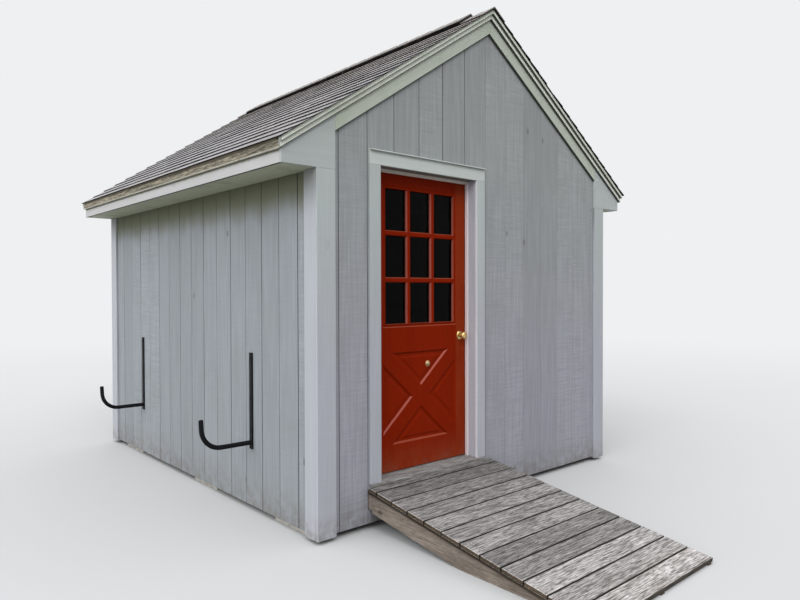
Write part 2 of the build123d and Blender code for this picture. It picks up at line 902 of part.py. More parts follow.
def ramp_ledger():
    """The board on the wall that the stringers hang on."""
    under = plank_thickness / ramp_cos
    back = -siding_y
    front = -siding_y - ledger_thickness
    top = min(ramp_level(front) - under, floor_top)
    points = [(back, top), (front, top), (front, top - ledger_height), (back, top - ledger_height)]
    return slab_yz(points, ramp_left + stringer_inset, ramp_left + ramp_width - stringer_inset)


# Wall rack

def rack_bars():
    for y in (-rack_spacing / 2, rack_spacing / 2):
        edges = (y - rack_bar_width / 2, y + rack_bar_width / 2)
        yield block(-siding_x - rack_bar_thickness, -siding_x, *edges, rack_bar_bottom, rack_bar_top)


def rack_arms():
    """Padded arms that run out level from the bars and turn up at their ends."""
    for y in (-rack_spacing / 2, rack_spacing / 2):
        start = (-siding_x - rack_bar_thickness, y, rack_arm_level)
        bend = (-siding_x - rack_reach, y, rack_arm_level)
        tip = (-siding_x - rack_reach - rack_tip_lean, y, rack_tip_level)
        path = FilletPolyline(start, bend, tip, radius=rack_bend)
        section = Plane(origin=start, z_dir=(-1, 0, 0)) * Circle(rack_arm_radius)
        yield sweep(section, path=path)


save("foundation_blocks", *foundation_blocks())
save("floor_skids", *floor_skids())
save("floor_rims", *floor_rims())
save("floor_joists", *floor_joists())
save("floor_deck", floor_deck())

save("front_wall_sides", *front_wall_sides())
save("front_wall_gable", front_wall_gable())
save("back_wall", back_wall())
save("side_walls", framed_side_wall(), flip_x(framed_side_wall()))

save("front_siding_sides", *front_siding_sides())
save("front_siding_gable", front_siding_gable())
save("front_skirt", front_skirt())
save("back_siding", back_siding())
save("left_siding", side_siding())
save("right_siding", flip_x(side_siding()))
save("corner_boards", *all_corners(corner_board()))

left_rafters = [rafter(y) for y in rafter_stations()]
save("rafters", *left_rafters, *[flip_x(piece) for piece in left_rafters])
save("ridge_board", ridge_board())
save("roof_deck", roof_deck(), flip_x(roof_deck()))
save("left_shingles", shingle_slope())
save("right_shingles", flip_x(shingle_slope()))
save("ridge_vent", ridge_vent())
save("ridge_cap", *ridge_caps())

save("soffits", soffit(), flip_x(soffit()))
save("fascias", fascia(), flip_x(fascia()))
save("eave_caps", eave_cap(), flip_x(eave_cap()))
save("eave_returns", *all_corners(eave_return()))
save("left_rake_boards", rake_board(), flip_y(rake_board()))
save("right_rake_boards", flip_x(rake_board()), flip_x(flip_y(rake_board())))
save("left_rake_caps", rake_caps(), flip_y(rake_caps()))
save("right_rake_caps", flip_x(rake_caps()), flip_x(flip_y(rake_caps())))

save("side_jambs", side_jamb(), latch_jamb())
save("head_jamb", head_jamb())
save("door_sill", door_sill())
save("side_casings", *side_casings())
save("head_casing", head_casing())

save("door_leaf", door_leaf())
save("door_glass", door_glass())
save("knob_rosettes", *rosettes())
save("door_knobs", door_knobs())
save("door_boss", door_boss())
save("door_hinge_leaves", *[hinge_half(z, True) for z in hinge_levels()])
save("jamb_hinge_leaves", *[hinge_half(z, False) for z in hinge_levels()])

save("ramp_planks", *ramp_planks())
save("ramp_stringers", *ramp_stringers())
save("ramp_ledger", ramp_ledger())
save("rack_bars", *rack_bars())
save("rack_arms", *rack_arms())
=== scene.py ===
"""Looks of the storage shed: boards, shingles, door, ramp and wall rack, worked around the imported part.

Metres. X runs along the door gable, Y from the door to the back, Z up, as in the part's source.
"""

import math
import random

import bmesh
import bpy
from mathutils import Matrix, Vector, noise


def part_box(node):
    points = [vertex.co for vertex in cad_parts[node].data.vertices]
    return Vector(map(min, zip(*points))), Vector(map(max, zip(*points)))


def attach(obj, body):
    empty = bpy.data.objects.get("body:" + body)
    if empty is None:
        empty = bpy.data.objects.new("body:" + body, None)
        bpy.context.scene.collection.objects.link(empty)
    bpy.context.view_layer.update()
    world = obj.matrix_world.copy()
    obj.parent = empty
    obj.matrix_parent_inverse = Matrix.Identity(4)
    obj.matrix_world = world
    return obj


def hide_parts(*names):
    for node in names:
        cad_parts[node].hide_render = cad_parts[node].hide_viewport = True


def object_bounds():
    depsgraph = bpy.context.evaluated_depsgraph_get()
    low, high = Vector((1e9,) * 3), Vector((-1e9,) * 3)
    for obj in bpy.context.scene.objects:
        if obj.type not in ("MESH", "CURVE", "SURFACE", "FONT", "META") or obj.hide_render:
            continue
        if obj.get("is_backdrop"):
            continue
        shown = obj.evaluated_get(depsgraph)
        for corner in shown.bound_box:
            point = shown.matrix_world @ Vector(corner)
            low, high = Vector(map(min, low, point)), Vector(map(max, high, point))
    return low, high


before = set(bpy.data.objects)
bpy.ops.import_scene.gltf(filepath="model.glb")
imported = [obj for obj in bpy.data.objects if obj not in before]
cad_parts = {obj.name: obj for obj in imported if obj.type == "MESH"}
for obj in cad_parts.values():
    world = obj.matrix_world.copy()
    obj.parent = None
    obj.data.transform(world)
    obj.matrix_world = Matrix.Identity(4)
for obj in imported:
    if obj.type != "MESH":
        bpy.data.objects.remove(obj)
cad_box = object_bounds()
chance = random.Random(11)

# Sizes repeated from the part's source
roof_slope = 8 / 12
roof_angle = math.atan(roof_slope)
roof_cos = math.cos(roof_angle)
roof_sin = math.sin(roof_angle)
deck_drop = 0.012 / roof_cos
sheathing_bottom = 0.070
board_thickness = 0.019
board_exposure = 0.227
joint_depth = 0.007
soffit_thickness = 0.012
corner_board_width = 0.140
rake_board_width = 0.140
rake_cap_width = 0.052
rake_drip_width = 0.023
eave_strip_height = 0.050
eave_ledge_height = 0.009
course_count = 17
shingle_butt = 0.009
vent_thickness = 0.020
ridge_cap_size = 0.145
casing_width = 0.089
stop_thickness = 0.012
stop_width = 0.025
stop_gap = 0.005
head_stop_thickness = 0.020
sill_fall = 0.006
ramp_run = 1.660
ramp_fall = 0.253
plank_width = 0.140
plank_gap = 0.006
plank_thickness = 0.025
rack_bar_width = 0.038
rack_bar_thickness = 0.012
arm_level = 0.486
arm_radius = 0.016
arm_reach = 0.365
arm_bend = 0.140
tip_level = 0.690
tip_lean = 0.011

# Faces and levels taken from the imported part
trim_x, trim_y, soffit_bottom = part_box("corner_boards")[1]
corner_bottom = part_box("corner_boards")[0].z
(sheath_x, _, siding_bottom), (siding_x, sheath_y, _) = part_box("right_siding")
siding_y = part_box("back_siding")[1].y
_, frame_y, floor_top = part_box("floor_deck")[1]
roof_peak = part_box("left_rake_boards")[1].z
fascia_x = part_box("fascias")[1].x
eave_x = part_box("eave_caps")[1].x
shingle_x, shingle_y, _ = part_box("right_shingles")[1]
vent_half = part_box("ridge_vent")[1].y
opening_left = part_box("side_casings")[0].x + casing_width
opening_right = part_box("side_casings")[1].x - casing_width
(rough_left, _, sill_top), (rough_right, door_back, opening_top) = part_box("side_jambs")
rough_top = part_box("head_jamb")[1].z
door_face, door_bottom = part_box("door_leaf")[0].yz
door_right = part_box("door_leaf")[1].x
(ramp_left, _, _), (ramp_right, ramp_back, ramp_top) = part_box("ramp_planks")
(_, rack_y0, _), (_, rack_y1, rack_bar_top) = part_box("rack_bars")
rack_bar_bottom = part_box("rack_bars")[0].z

# Where the boards of the walls start to be counted, as the joints lie in the photo
gable_first = -0.024
side_first = -0.036

# How far an edge is eased, and in how many rounds
raw_edge = (0.0, 1)
crisp_edge = (0.001, 1)
cut_edge = (0.0015, 1)
strip_edge = (0.0012, 2)
narrow_edge = (0.002, 2)
trim_edge = (0.003, 2)

# Ways a grain runs
along_x = (1, 0, 0)
along_y = (0, 1, 0)
upright = (0, 0, 1)


def deck_top(x):
    """Height of the roof deck's upper face at a distance x from the ridge line."""
    return roof_peak - abs(x) * roof_slope


def deck_under(x):
    """Height of the roof deck's lower face at a distance x from the ridge line."""
    return deck_top(x) - deck_drop


# Working the pieces

def bench():
    """An empty mesh whose points carry the run of the grain and the tone of their board."""
    work = bmesh.new()
    work.verts.layers.float_vector.new("grain")
    work.verts.layers.float.new("tone")
    return work


def lay(work, part, along=upright, tone=None, finish=0):
    """Gives a board its grain, tone and finish, which may be picked face by face, and adds it to the work."""
    grain = part.verts.layers.float_vector.get("grain") or part.verts.layers.float_vector.new("grain")
    shade = part.verts.layers.float.get("tone") or part.verts.layers.float.new("tone")
    turn = Vector(along).rotation_difference(Vector(along_x))
    start = Vector([chance.uniform(0, 30) for _ in range(3)])
    own = chance.random() if tone is None else tone
    for point in part.verts:
        point[grain] = turn @ point.co + start
        point[shade] = own
    part.normal_update()
    for face in part.faces:
        face.material_index = finish(face) if callable(finish) else finish
    sheet = bpy.data.meshes.new("board")
    part.to_mesh(sheet)
    part.free()
    work.from_mesh(sheet)
    bpy.data.meshes.remove(sheet)


def bevelled(part, edges, radius, rounds):
    """Takes the sharpness off some edges."""
    bmesh.ops.bevel(part, geom=edges, offset=radius, segments=rounds, profile=0.5, affect="EDGES",
                    material=-1, clamp_overlap=True)
    return part


def eased(part, edge):
    """Turns the faces outwards and eases every edge."""
    bmesh.ops.recalc_face_normals(part, faces=part.faces)
    return bevelled(part, part.edges[:], *edge) if edge[0] else part


def pushed(part, outline, push):
    """Fills an outline, gives it thickness and tells its far points."""
    rim = [part.verts.new(corner) for corner in outline]
    grown = bmesh.ops.extrude_face_region(part, geom=[part.faces.new(rim)])
    far = [item for item in grown["geom"] if isinstance(item, bmesh.types.BMVert)]
    bmesh.ops.translate(part, verts=far, vec=push)
    return far


def sawn(outline, push, edge=cut_edge):
    """A board cut to an outline and given its thickness."""
    part = bmesh.new()
    pushed(part, outline, push)
    return eased(part, edge)


def squared(low, high, edge=cut_edge):
    """A squared timber between two corners."""
    low, high = Vector(low), Vector(high)
    part = bmesh.new()
    size = Matrix.Diagonal((high - low).to_4d())
    bmesh.ops.create_cube(part, size=1, matrix=Matrix.Translation((low + high) / 2) @ size)
    return eased(part, edge)


def turned(profile, middle, outward):
    """A piece turned about the Y axis from a profile of radius and reach."""
    part = bmesh.new()
    chain = [part.verts.new((radius, reach * outward, 0)) for radius, reach in profile]
    line = [part.edges.new(pair) for pair in zip(chain, chain[1:])]
    bmesh.ops.spin(part, geom=chain + line, axis=(0, 1, 0), cent=(0, 0, 0),
                   angle=math.tau, steps=40, use_merge=True)
    bmesh.ops.remove_doubles(part, verts=part.verts, dist=1e-6)
    bmesh.ops.recalc_face_normals(part, faces=part.faces)
    bmesh.ops.translate(part, verts=part.verts, vec=middle)
    return part


def studded(place, foot, head, height, sides):
    """The round head of a nail or bolt."""
    part = bmesh.new()
    bmesh.ops.create_cone(part, cap_ends=True, segments=sides, radius1=foot, radius2=head, depth=height,
                          matrix=place)
    return part


def copied(node, radius, rounds=1):
    """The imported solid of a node, cleaned to whole faces and eased."""
    part = bmesh.new()
    part.from_mesh(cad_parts[node].data)
    bmesh.ops.remove_doubles(part, verts=part.verts, dist=1e-5)
    bmesh.ops.recalc_face_normals(part, faces=part.faces)
    return bevelled(part, [edge for edge in part.edges if edge.calc_face_angle(0.0) > 0.25], radius, rounds)


def piece(name, work, finishes, slot, stands_for=(), body="shed", smooth=None):
    """Ends the work on a mesh: it becomes a piece of the shed that moves with its body."""
    mesh = bpy.data.meshes.new(name)
    work.to_mesh(mesh)
    work.free()
    for finish in finishes:
        mesh.materials.append(finish)
    if smooth:
        mesh.shade_smooth()
        mesh.set_sharp_from_angle(angle=math.radians(smooth))
    made = bpy.data.objects.new(name, mesh)
    bpy.context.scene.collection.objects.link(made)
    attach(made, body)
    if stands_for:
        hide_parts(*stands_for)
    return made


def dressed(name, node, edge, finishes, slot, along=upright, finish=0, **ends):
    """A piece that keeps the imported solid's shape, with its edges eased."""
    work = bench()
    lay(work, copied(node, *edge), along, finish=finish)
    piece(name, work, finishes, slot, [node], **ends)


# Which finish a face takes

def facing_down(face):
    """The second finish, painted shade, for the faces that look at the ground."""
    return int(face.normal.z < -0.3)


def facing_sideways(face):
    """The second finish for the faces that look along X."""
    return int(abs(face.normal.x) > 0.6)


def facing_left(face):
    """The second finish, a painted highlight, for the edges of a board that look to the left."""
    return int(face.normal.x < -0.3)


def strip_faces(face):
    """The second finish for the underside of a strip and the third for its plumb ends, both painted shade."""
    plumb = abs(face.normal.z) < 0.2 and abs(face.normal.x) > 0.3
    return 2 if plumb or abs(face.normal.x) > 0.9 else facing_down(face)


def lit_door_slopes(face):
    """The second finish, a painted highlight, for door slopes that look up to the hinge side; the third, a
    fainter painted highlight, for others that look up.
    """
    if abs(face.normal.y) > 0.95 or face.calc_area() > 0.03:
        return 0
    if face.normal.dot(Vector((-0.66, 0, 0.75))) > 0.45 and face.normal.x < -0.2:
        return 1
    return 2 if face.normal.z > 0.4 and face.normal.x < 0.2 else 0


def plank_faces(face):
    """Finishes of a ramp board: 0 walked face, 1 sides in the gaps, damp with painted shade, 2 sawn ends,
    3 painted highlight on the edge at the left.
    """
    if abs(face.normal.y) > 0.35:
        return 1
    if abs(face.normal.x) > 0.95:
        return 2
    return 3 if face.normal.x < -0.3 else 0


# Shader nodes

def add(tree, kind, inputs=None, **settings):
    """One shader node; an input is a number, a colour or another node's socket."""
    made = tree.nodes.new(kind)
    for key, value in settings.items():
        setattr(made, key, value)
    for key, value in (inputs or {}).items():
        if isinstance(value, bpy.types.NodeSocket):
            tree.links.new(value, made.inputs[key])
        else:
            made.inputs[key].default_value = value
    return made


def calc(tree, operation, a, b=0.0, c=0.0):
    """One step of arithmetic."""
    return add(tree, "ShaderNodeMath", {0: a, 1: b, 2: c}, operation=operation).outputs[0]


def times(tree, a, b):
    """A value taken at a share."""
    return calc(tree, "MULTIPLY", a, b)


def mixed(tree, share, a, b, blend="MIX"):
    """Colour a turned towards colour b by a share."""
    a = a if isinstance(a, bpy.types.NodeSocket) else (*a, 1)
    b = b if isinstance(b, bpy.types.NodeSocket) else (*b, 1)
    return add(tree, "ShaderNodeMix", {0: share, 6: a, 7: b}, data_type="RGBA", blend_type=blend).outputs[2]


def span(tree, value, low, high, start=0.0, end=1.0):
    """A smooth step of a value between two levels."""
    inputs = {"Value": value, "From Min": low, "From Max": high, "To Min": start, "To Max": end}
    return add(tree, "ShaderNodeMapRange", inputs, interpolation_type="SMOOTHSTEP").outputs[0]


def stretched(tree, vector, scale, turn=(0, 0, 0)):
    """A place with its axes drawn out and turned."""
    inputs = {"Vector": vector, "Scale": scale, "Rotation": turn}
    return add(tree, "ShaderNodeMapping", inputs).outputs[0]


def clouds(tree, vector, scale, detail=2.0, rough=0.5):
    """Cloudy noise."""
    inputs = {"Vector": vector, "Scale": scale, "Detail": detail, "Roughness": rough}
    return add(tree, "ShaderNodeTexNoise", inputs).outputs[0]


def on_shed(tree):
    """The place on the shed."""
    return add(tree, "ShaderNodeTexCoord").outputs["Object"]


def axis(tree, place, letter):
    """One coordinate of a place."""
    return add(tree, "ShaderNodeSeparateXYZ", {0: place}).outputs[letter]


def grey(tree, level):
    """A colour without hue."""
    return add(tree, "ShaderNodeCombineColor", {0: level, 1: level, 2: level}).outputs[0]


def toned(colour, share):
    """A colour made darker or lighter."""
    return [part * share for part in colour]


# Effects that several finishes share, each a group of nodes

def effect(name, takes, gives, worked):
    """A shader node group with named inputs and outputs, worked out by a function from what it is given."""
    tree = bpy.data.node_groups.new(name, "ShaderNodeTree")
    for label, value in takes.items():
        kind = "NodeSocketVector" if isinstance(value, tuple) else "NodeSocketFloat"
        tree.interface.new_socket(label, in_out="INPUT", socket_type=kind).default_value = value
    for label in gives:
        tree.interface.new_socket(label, in_out="OUTPUT", socket_type="NodeSocketFloat")
    given = tree.nodes.new("NodeGroupInput").outputs
    out = tree.nodes.new("NodeGroupOutput").inputs
    for label, value in zip(gives, worked(tree, given)):
        tree.links.new(value, out[label])
    return tree


def used(tree, group, **inputs):
    """A group placed in a material with its own values."""
    return add(tree, "ShaderNodeGroup", inputs, node_tree=group).outputs


def growth(tree, given):
    """Growth rings, fine fibre and knots of a board whose grain runs along X."""
    long_run = stretched(tree, given["Vector"], (0.10, 1, 1))
    wave = {"Vector": long_run, "Scale": given["Rings"], "Distortion": 5.0, "Detail": 2.0,
            "Detail Scale": 0.6}
    rings = add(tree, "ShaderNodeTexWave", wave, wave_type="RINGS", rings_direction="X").outputs["Fac"]
    fibre = clouds(tree, stretched(tree, given["Vector"], (0.018, 1, 1)), 260.0, 3.0, 0.65)
    spots = {"Vector": stretched(tree, given["Vector"], (0.6, 1, 1)), "Scale": given["Knots"]}
    away = add(tree, "ShaderNodeTexVoronoi", spots).outputs["Distance"]
    return rings, fibre, span(tree, away, 0.075, 0.045)


def cross_marks(tree, given):
    """Fine cross marks that a band saw leaves, stronger here and there and on some boards."""
    across = stretched(tree, given["Vector"], (1, 0.06, 0.06), (0, 0, 0.05))
    marks = calc(tree, "SUBTRACT", clouds(tree, across, 75.0, 2.0, 0.6), 0.5)
    drift = clouds(tree, stretched(tree, given["Vector"], (0.5, 1, 1)), 3.0, 2.0)
    marks = times(tree, marks, span(tree, drift, 0.3, 0.7, 0.4, 1.0))
    return [times(tree, marks, span(tree, given["Tone"], 0.45, 0.95, 0.25, 1.0))]


def flakes(tree, given):
    """Places where paint has come off; the share is from 0, none, to 1."""
    broad = clouds(tree, given["Vector"], times(tree, given["Scale"], 0.12), 1.0)
    fine = clouds(tree, given["Vector"], given["Scale"], 4.0, 0.62)
    level = calc(tree, "ADD", times(tree, broad, 0.45), times(tree, fine, 0.55))
    edge = calc(tree, "SUBTRACT", 0.72, times(tree, given["Share"], 0.42))
    return [span(tree, calc(tree, "SUBTRACT", level, edge), -0.008, 0.012)]


def soil(tree, given):
    """Soil splashed up from the ground, thinning out by the given height."""
    place = on_shed(tree)
    near = span(tree, axis(tree, place, "Z"), given["Height"], 0.02)
    return [times(tree, near, span(tree, clouds(tree, place, 14.0, 4.0, 0.65), 0.32, 0.68))]


def streaks_down(tree, given):
    """Weather streaks along a board, and the shade that they and its own tone give it."""
    streak = clouds(tree, stretched(tree, given["Vector"], (0.04, 1, 1)), 55.0, 3.0, 0.6)
    shade = calc(tree, "MULTIPLY_ADD", calc(tree, "SUBTRACT", given["Tone"], 0.5), given["Spread"], 1.0)
    dull = calc(tree, "SUBTRACT", 1.0, given["Strength"])
    bright = calc(tree, "ADD", 1.0, given["Strength"])
    return streak, times(tree, shade, span(tree, streak, 0.3, 0.7, dull, bright))


def damp_spots(tree, given):
    """Damp patches that drift over the shed."""
    return [span(tree, clouds(tree, stretched(tree, on_shed(tree), (1, 1, 0.5)), 5.0, 4.0, 0.6), 0.48, 0.72)]


def film_and_shade_under(tree, given):
    """A film of grime with painted shade that runs down from under a ledge."""
    place = on_shed(tree)
    scale = calc(tree, "DIVIDE", 3.6, calc(tree, "SQRT", given["Far"]))
    runs = clouds(tree, stretched(tree, place, (1, 1, 0.10)), scale, 4.0, 0.65)
    below = calc(tree, "SUBTRACT", given["Ledge"], axis(tree, place, "Z"))
    below = times(tree, below, span(tree, runs, 0.30, 0.70, 1.2, 0.9))
    return [times(tree, span(tree, below, given["Far"], given["Near"]), given["Share"])]


def shade_line_under(tree, given):
    """Painted shade with grime in a line along the roof, at a depth under its plane."""
    place = on_shed(tree)
    across = calc(tree, "ABSOLUTE", axis(tree, place, "X"))
    depth = calc(tree, "MULTIPLY_ADD", across, roof_slope, axis(tree, place, "Z"))
    depth = calc(tree, "SUBTRACT", roof_peak, depth)
    foot, width = given["Foot"], given["Width"]
    above = span(tree, depth, calc(tree, "SUBTRACT", foot, 0.002), foot)
    end = calc(tree, "ADD", foot, width)
    full = calc(tree, "MULTIPLY_ADD", width, 0.3, foot)
    return [times(tree, times(tree, above, span(tree, depth, end, full)), 0.85)]


def share_along(tree, given):
    """A share that grows along a way over the shed, from where it starts to where it is full."""
    dot = add(tree, "ShaderNodeVectorMath", {0: on_shed(tree), 1: given["Way"]}, operation="DOT_PRODUCT")
    return [times(tree, span(tree, dot.outputs["Value"], given["Start"], given["Full"]), given["Most"])]


def drying(tree, given):
    """Checks, short flecks and broad patches along the grain of weathered wood."""
    grain = given["Vector"]
    checks = clouds(tree, stretched(tree, grain, (0.03, 1, 1)), 90.0, 4.0, 0.7)
    flecks = clouds(tree, stretched(tree, grain, (0.065, 1, 1)), 200.0, 3.0, 0.7)
    return checks, flecks, clouds(tree, stretched(tree, grain, (0.5, 1, 1)), 7.0, 4.0, 0.6)


def granules(tree, given):
    """Pressed granules: how pale each one is, their relief, streaks of rain and the fading near the ridge."""
    grains = add(tree, "ShaderNodeTexVoronoi", {"Vector": given["Vector"], "Scale": 420.0}).outputs
    pick = add(tree, "ShaderNodeSeparateColor", {0: grains["Color"]}).outputs[0]
    broad = clouds(tree, given["Vector"], 16.0, 3.0, 0.6)
    pale = calc(tree, "MULTIPLY_ADD", pick, 0.45, times(tree, broad, 0.55))
    pale = calc(tree, "MULTIPLY_ADD", calc(tree, "SUBTRACT", given["Tone"], 0.5), 0.22, pale)
    place = on_shed(tree)
    rain = clouds(tree, stretched(tree, place, (0.35, 2.2, 0.35)), 3.0, 3.0)
    faded = span(tree, axis(tree, place, "Z"), 2.9, roof_peak, 0.0, 0.60)
    return pale, grains["Distance"], span(tree, rain, 0.45, 0.75, 0.0, 0.35), faded


def settled_dust(tree, given):
    """Dust, mottling, dulled patches and fine pits of plastic, foam and coatings."""
    place = on_shed(tree)
    broad = clouds(tree, place, 9.0, 4.0, 0.6)
    pits = clouds(tree, place, 380.0, 2.0, 0.6)
    mottle = span(tree, broad, 0.35, 0.75, 0.0, 0.6)
    return span(tree, broad, 0.52, 0.80), mottle, span(tree, broad, 0.3, 0.7), pits


def tarnish_spots(tree, given):
    """Tarnish, dulled patches and fine scratches of metal."""
    place = on_shed(tree)
    broad = clouds(tree, place, 60.0, 4.0, 0.65)
    scratches = clouds(tree, stretched(tree, place, (1, 1, 0.06)), 900.0, 2.0)
    return span(tree, broad, 0.45, 0.78), span(tree, broad, 0.3, 0.8), scratches


no_place = (0, 0, 0)
timber = effect("timber", {"Vector": no_place, "Rings": 14.0, "Knots": 4.0}, ["Rings", "Fibre", "Knot"],
                growth)
saw_marks = effect("saw marks", {"Vector": no_place, "Tone": 0.5}, ["Height"], cross_marks)
flaking = effect("flaking", {"Vector": no_place, "Scale": 30.0, "Share": 0.1}, ["Bare"], flakes)
ground_splash = effect("ground splash", {"Height": 0.3}, ["Dirt"], soil)
streaked = effect("streaks", {"Vector": no_place, "Tone": 0.5, "Spread": 0.1, "Strength": 0.1},
                  ["Streak", "Shade"], streaks_down)
damp = effect("damp patches", {}, ["Damp"], damp_spots)
ledge_shade_and_grime = effect("painted shade and grime under a ledge", {"Ledge": 2.0, "Near": 0.05, "Far": 0.3, "Share": 0.9}, ["Film"],
                     film_and_shade_under)
roof_shade_line = effect("painted shade and grime line under the roof", {"Foot": 0.1, "Width": 0.01}, ["Line"], shade_line_under)
band = effect("band", {"Way": no_place, "Start": 0.0, "Full": 1.0, "Most": 1.0}, ["Share"], share_along)
dried = effect("weathered grain", {"Vector": no_place}, ["Checks", "Flecks", "Patches"], drying)
pressed = effect("granules", {"Vector": no_place, "Tone": 0.5}, ["Pale", "Relief", "Rain", "Faded"], granules)
dusty = effect("dust and pits", {}, ["Dust", "Mottle", "Dull", "Pits"], settled_dust)
tarnished = effect("tarnish", {}, ["Tarnish", "Dull", "Scratches"], tarnish_spots)


# Finishes

def finish(name, roughness, **settings):
    """A new finish: its node tree and its shader."""
    material = bpy.data.materials.new(name)
    material.use_nodes = True
    shader = material.node_tree.nodes["Principled BSDF"]
    shader.inputs["Roughness"].default_value = roughness
    for label, value in settings.items():
        shader.inputs[label.replace("_", " ")].default_value = value
    return material, material.node_tree, shader


def feed(tree, shader, colour, relief, depth, strength=1.0, rough=None):
    """Joins a colour, a relief and, where it varies, a roughness to the shader."""
    bump = add(tree, "ShaderNodeBump", {"Height": relief, "Distance": depth, "Strength": strength})
    tree.links.new(colour, shader.inputs["Base Color"])
    tree.links.new(bump.outputs[0], shader.inputs["Normal"])
    if rough:
        tree.links.new(rough, shader.inputs["Roughness"])


def own_grain(tree):
    """The run of the grain and the tone of each board, as the bench laid them."""
    grain = add(tree, "ShaderNodeAttribute", attribute_name="grain").outputs["Vector"]
    tone = add(tree, "ShaderNodeAttribute", attribute_name="tone").outputs["Fac"]
    return grain, tone


def shed_grain(tree, turn):
    """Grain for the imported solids, which follows the shed's own axes; the tone drifts slowly."""
    place = on_shed(tree)
    return stretched(tree, place, (1, 1, 1), turn), clouds(tree, place, 2.3, 0.0)


def soiled(tree, coat, height, most, colour):
    """A coat with soil splashed on it."""
    dirt = used(tree, ground_splash, Height=height)["Dirt"]
    return mixed(tree, times(tree, dirt, most), coat, colour)


def painted(name, colour, wear_colour, spread=0.1, share=0.05, scale=40.0, saw=0.0, streaks=0.10, knots=4.0,
            knot_show=0.3, splash=0.3, stain=(0.30, 0.36, 0.24), stain_show=0.0, roughness=0.6, ledge=None,
            reach=(0.05, 0.30), film_share=0.88, feet=(), colour_bands=(), **settings):
    """Paint on timber: streaks, knots, flaked spots, stains, colour bands, soil, and grime with painted
    shade under a ledge.

    A foot is a depth under the roof and the width of the line of painted shade with grime below it; a
    colour band is the way it runs, where it starts and is full, and its colour. A band on the door is faded
    paint; low on siding and trim it is a painted bluish reflection.
    """
    material, tree, shader = finish(name, roughness, **settings)
    grain, tone = own_grain(tree)
    wood = used(tree, timber, Vector=grain, Rings=9.0, Knots=knots)
    marks = used(tree, saw_marks, Vector=grain, Tone=tone)["Height"]
    bare = used(tree, flaking, Vector=stretched(tree, grain, (0.45, 1, 1)), Scale=scale, Share=share)["Bare"]
    board = used(tree, streaked, Vector=grain, Tone=tone, Spread=spread, Strength=streaks)
    shade = times(tree, board["Shade"], calc(tree, "MULTIPLY_ADD", marks, 0.8 * saw, 1.0))
    coat = colour
    # Colour bands: faded paint on the door; low on siding and trim, a painted bluish reflection.
    for way, start, full, pale in colour_bands:
        coat = mixed(tree, used(tree, band, Way=way, Start=start, Full=full, Most=0.9)["Share"], coat, pale)
    coat = mixed(tree, 1.0, coat, grey(tree, shade), "MULTIPLY")
    coat = mixed(tree, times(tree, wood["Knot"], knot_show), coat, (0.08, 0.07, 0.06))
    coat = mixed(tree, times(tree, used(tree, damp)["Damp"], stain_show), coat, stain)
    # Grime with painted shade below a ledge.
    if ledge:
        shade_and_grime = used(tree, ledge_shade_and_grime, Ledge=ledge, Near=reach[0], Far=reach[1], Share=film_share)
        coat = mixed(tree, shade_and_grime["Film"], coat, (0.100, 0.106, 0.056))
    # A line of painted shade with grime just under a strip or board along the roof.
    for foot, width in feet:
        line = used(tree, roof_shade_line, Foot=foot, Width=width)["Line"]
        coat = mixed(tree, line, coat, (0.050, 0.055, 0.042))
    coat = mixed(tree, bare, coat, mixed(tree, wood["Fibre"], wear_colour, toned(wear_colour, 0.55)))
    coat = soiled(tree, coat, splash, 0.55, (0.13, 0.105, 0.08))
    relief = calc(tree, "MULTIPLY_ADD", wood["Fibre"], 0.35, times(tree, marks, saw))
    relief = calc(tree, "SUBTRACT", relief, times(tree, bare, 0.5))
    rough = span(tree, board["Streak"], 0.2, 0.8, roughness - 0.07, roughness + 0.10)
    feed(tree, shader, coat, relief, 0.0012, rough=rough)
    return material


def bare_timber(name, light, dark, spread=0.3, rings=16.0, ring_show=0.5, knots=4.0, splash=0.1,
                roughness=0.85, flecks=0.0, turn=None, blotch=0.2, under=None):
    """Unpainted wood, fresh or weathered: rings, open grain, knots, short flecks and a darker band.

    The grain is each board's own, or follows the shed turned by the given angles; the darker band is the way
    it runs, where it starts and is full, and its colour.
    """
    material, tree, shader = finish(name, roughness, Specular_IOR_Level=0.25)
    grain, tone = own_grain(tree) if turn is None else shed_grain(tree, turn)
    wood = used(tree, timber, Vector=grain, Rings=rings, Knots=knots)
    worn = used(tree, dried, Vector=grain)
    coat = mixed(tree, span(tree, wood["Rings"], 0.1, 0.95, 0.0, ring_show), light, dark)
    coat = mixed(tree, span(tree, worn["Checks"], 0.44, 0.64, 0.0, 0.80), coat, dark)
    coat = mixed(tree, times(tree, wood["Knot"], 0.75), coat, toned(dark, 0.45))
    shade = calc(tree, "MULTIPLY_ADD", tone, spread, 1.0 - spread / 2)
    shade = times(tree, shade, span(tree, worn["Patches"], 0.25, 0.75, 1.0 - blotch / 2, 1.0 + blotch / 2))
    shade = times(tree, shade, span(tree, wood["Fibre"], 0.25, 0.75, 0.86, 1.14))
    shade = times(tree, shade, span(tree, worn["Flecks"], 0.41, 0.62, 1.0 + flecks * 0.7, 1.0 - flecks))
    coat = mixed(tree, 1.0, coat, grey(tree, shade), "MULTIPLY")
    if under:
        way, start, full, band_colour = under
        darker_band = used(tree, band, Way=way, Start=start, Full=full, Most=0.92)["Share"]
        coat = mixed(tree, darker_band, coat, band_colour)
    coat = soiled(tree, coat, splash, 0.5, (0.10, 0.08, 0.06))
    relief = calc(tree, "MULTIPLY_ADD", wood["Rings"], 0.25, times(tree, wood["Fibre"], 0.5))
    relief = calc(tree, "SUBTRACT", relief, span(tree, worn["Checks"], 0.55, 0.8, 0.0, 0.8))
    relief = calc(tree, "SUBTRACT", relief, times(tree, worn["Flecks"], 1.2 * flecks))
    rough = span(tree, worn["Checks"], 0.2, 0.8, roughness - 0.08, roughness + 0.08)
    feed(tree, shader, coat, relief, 0.0018, rough=rough)
    return material


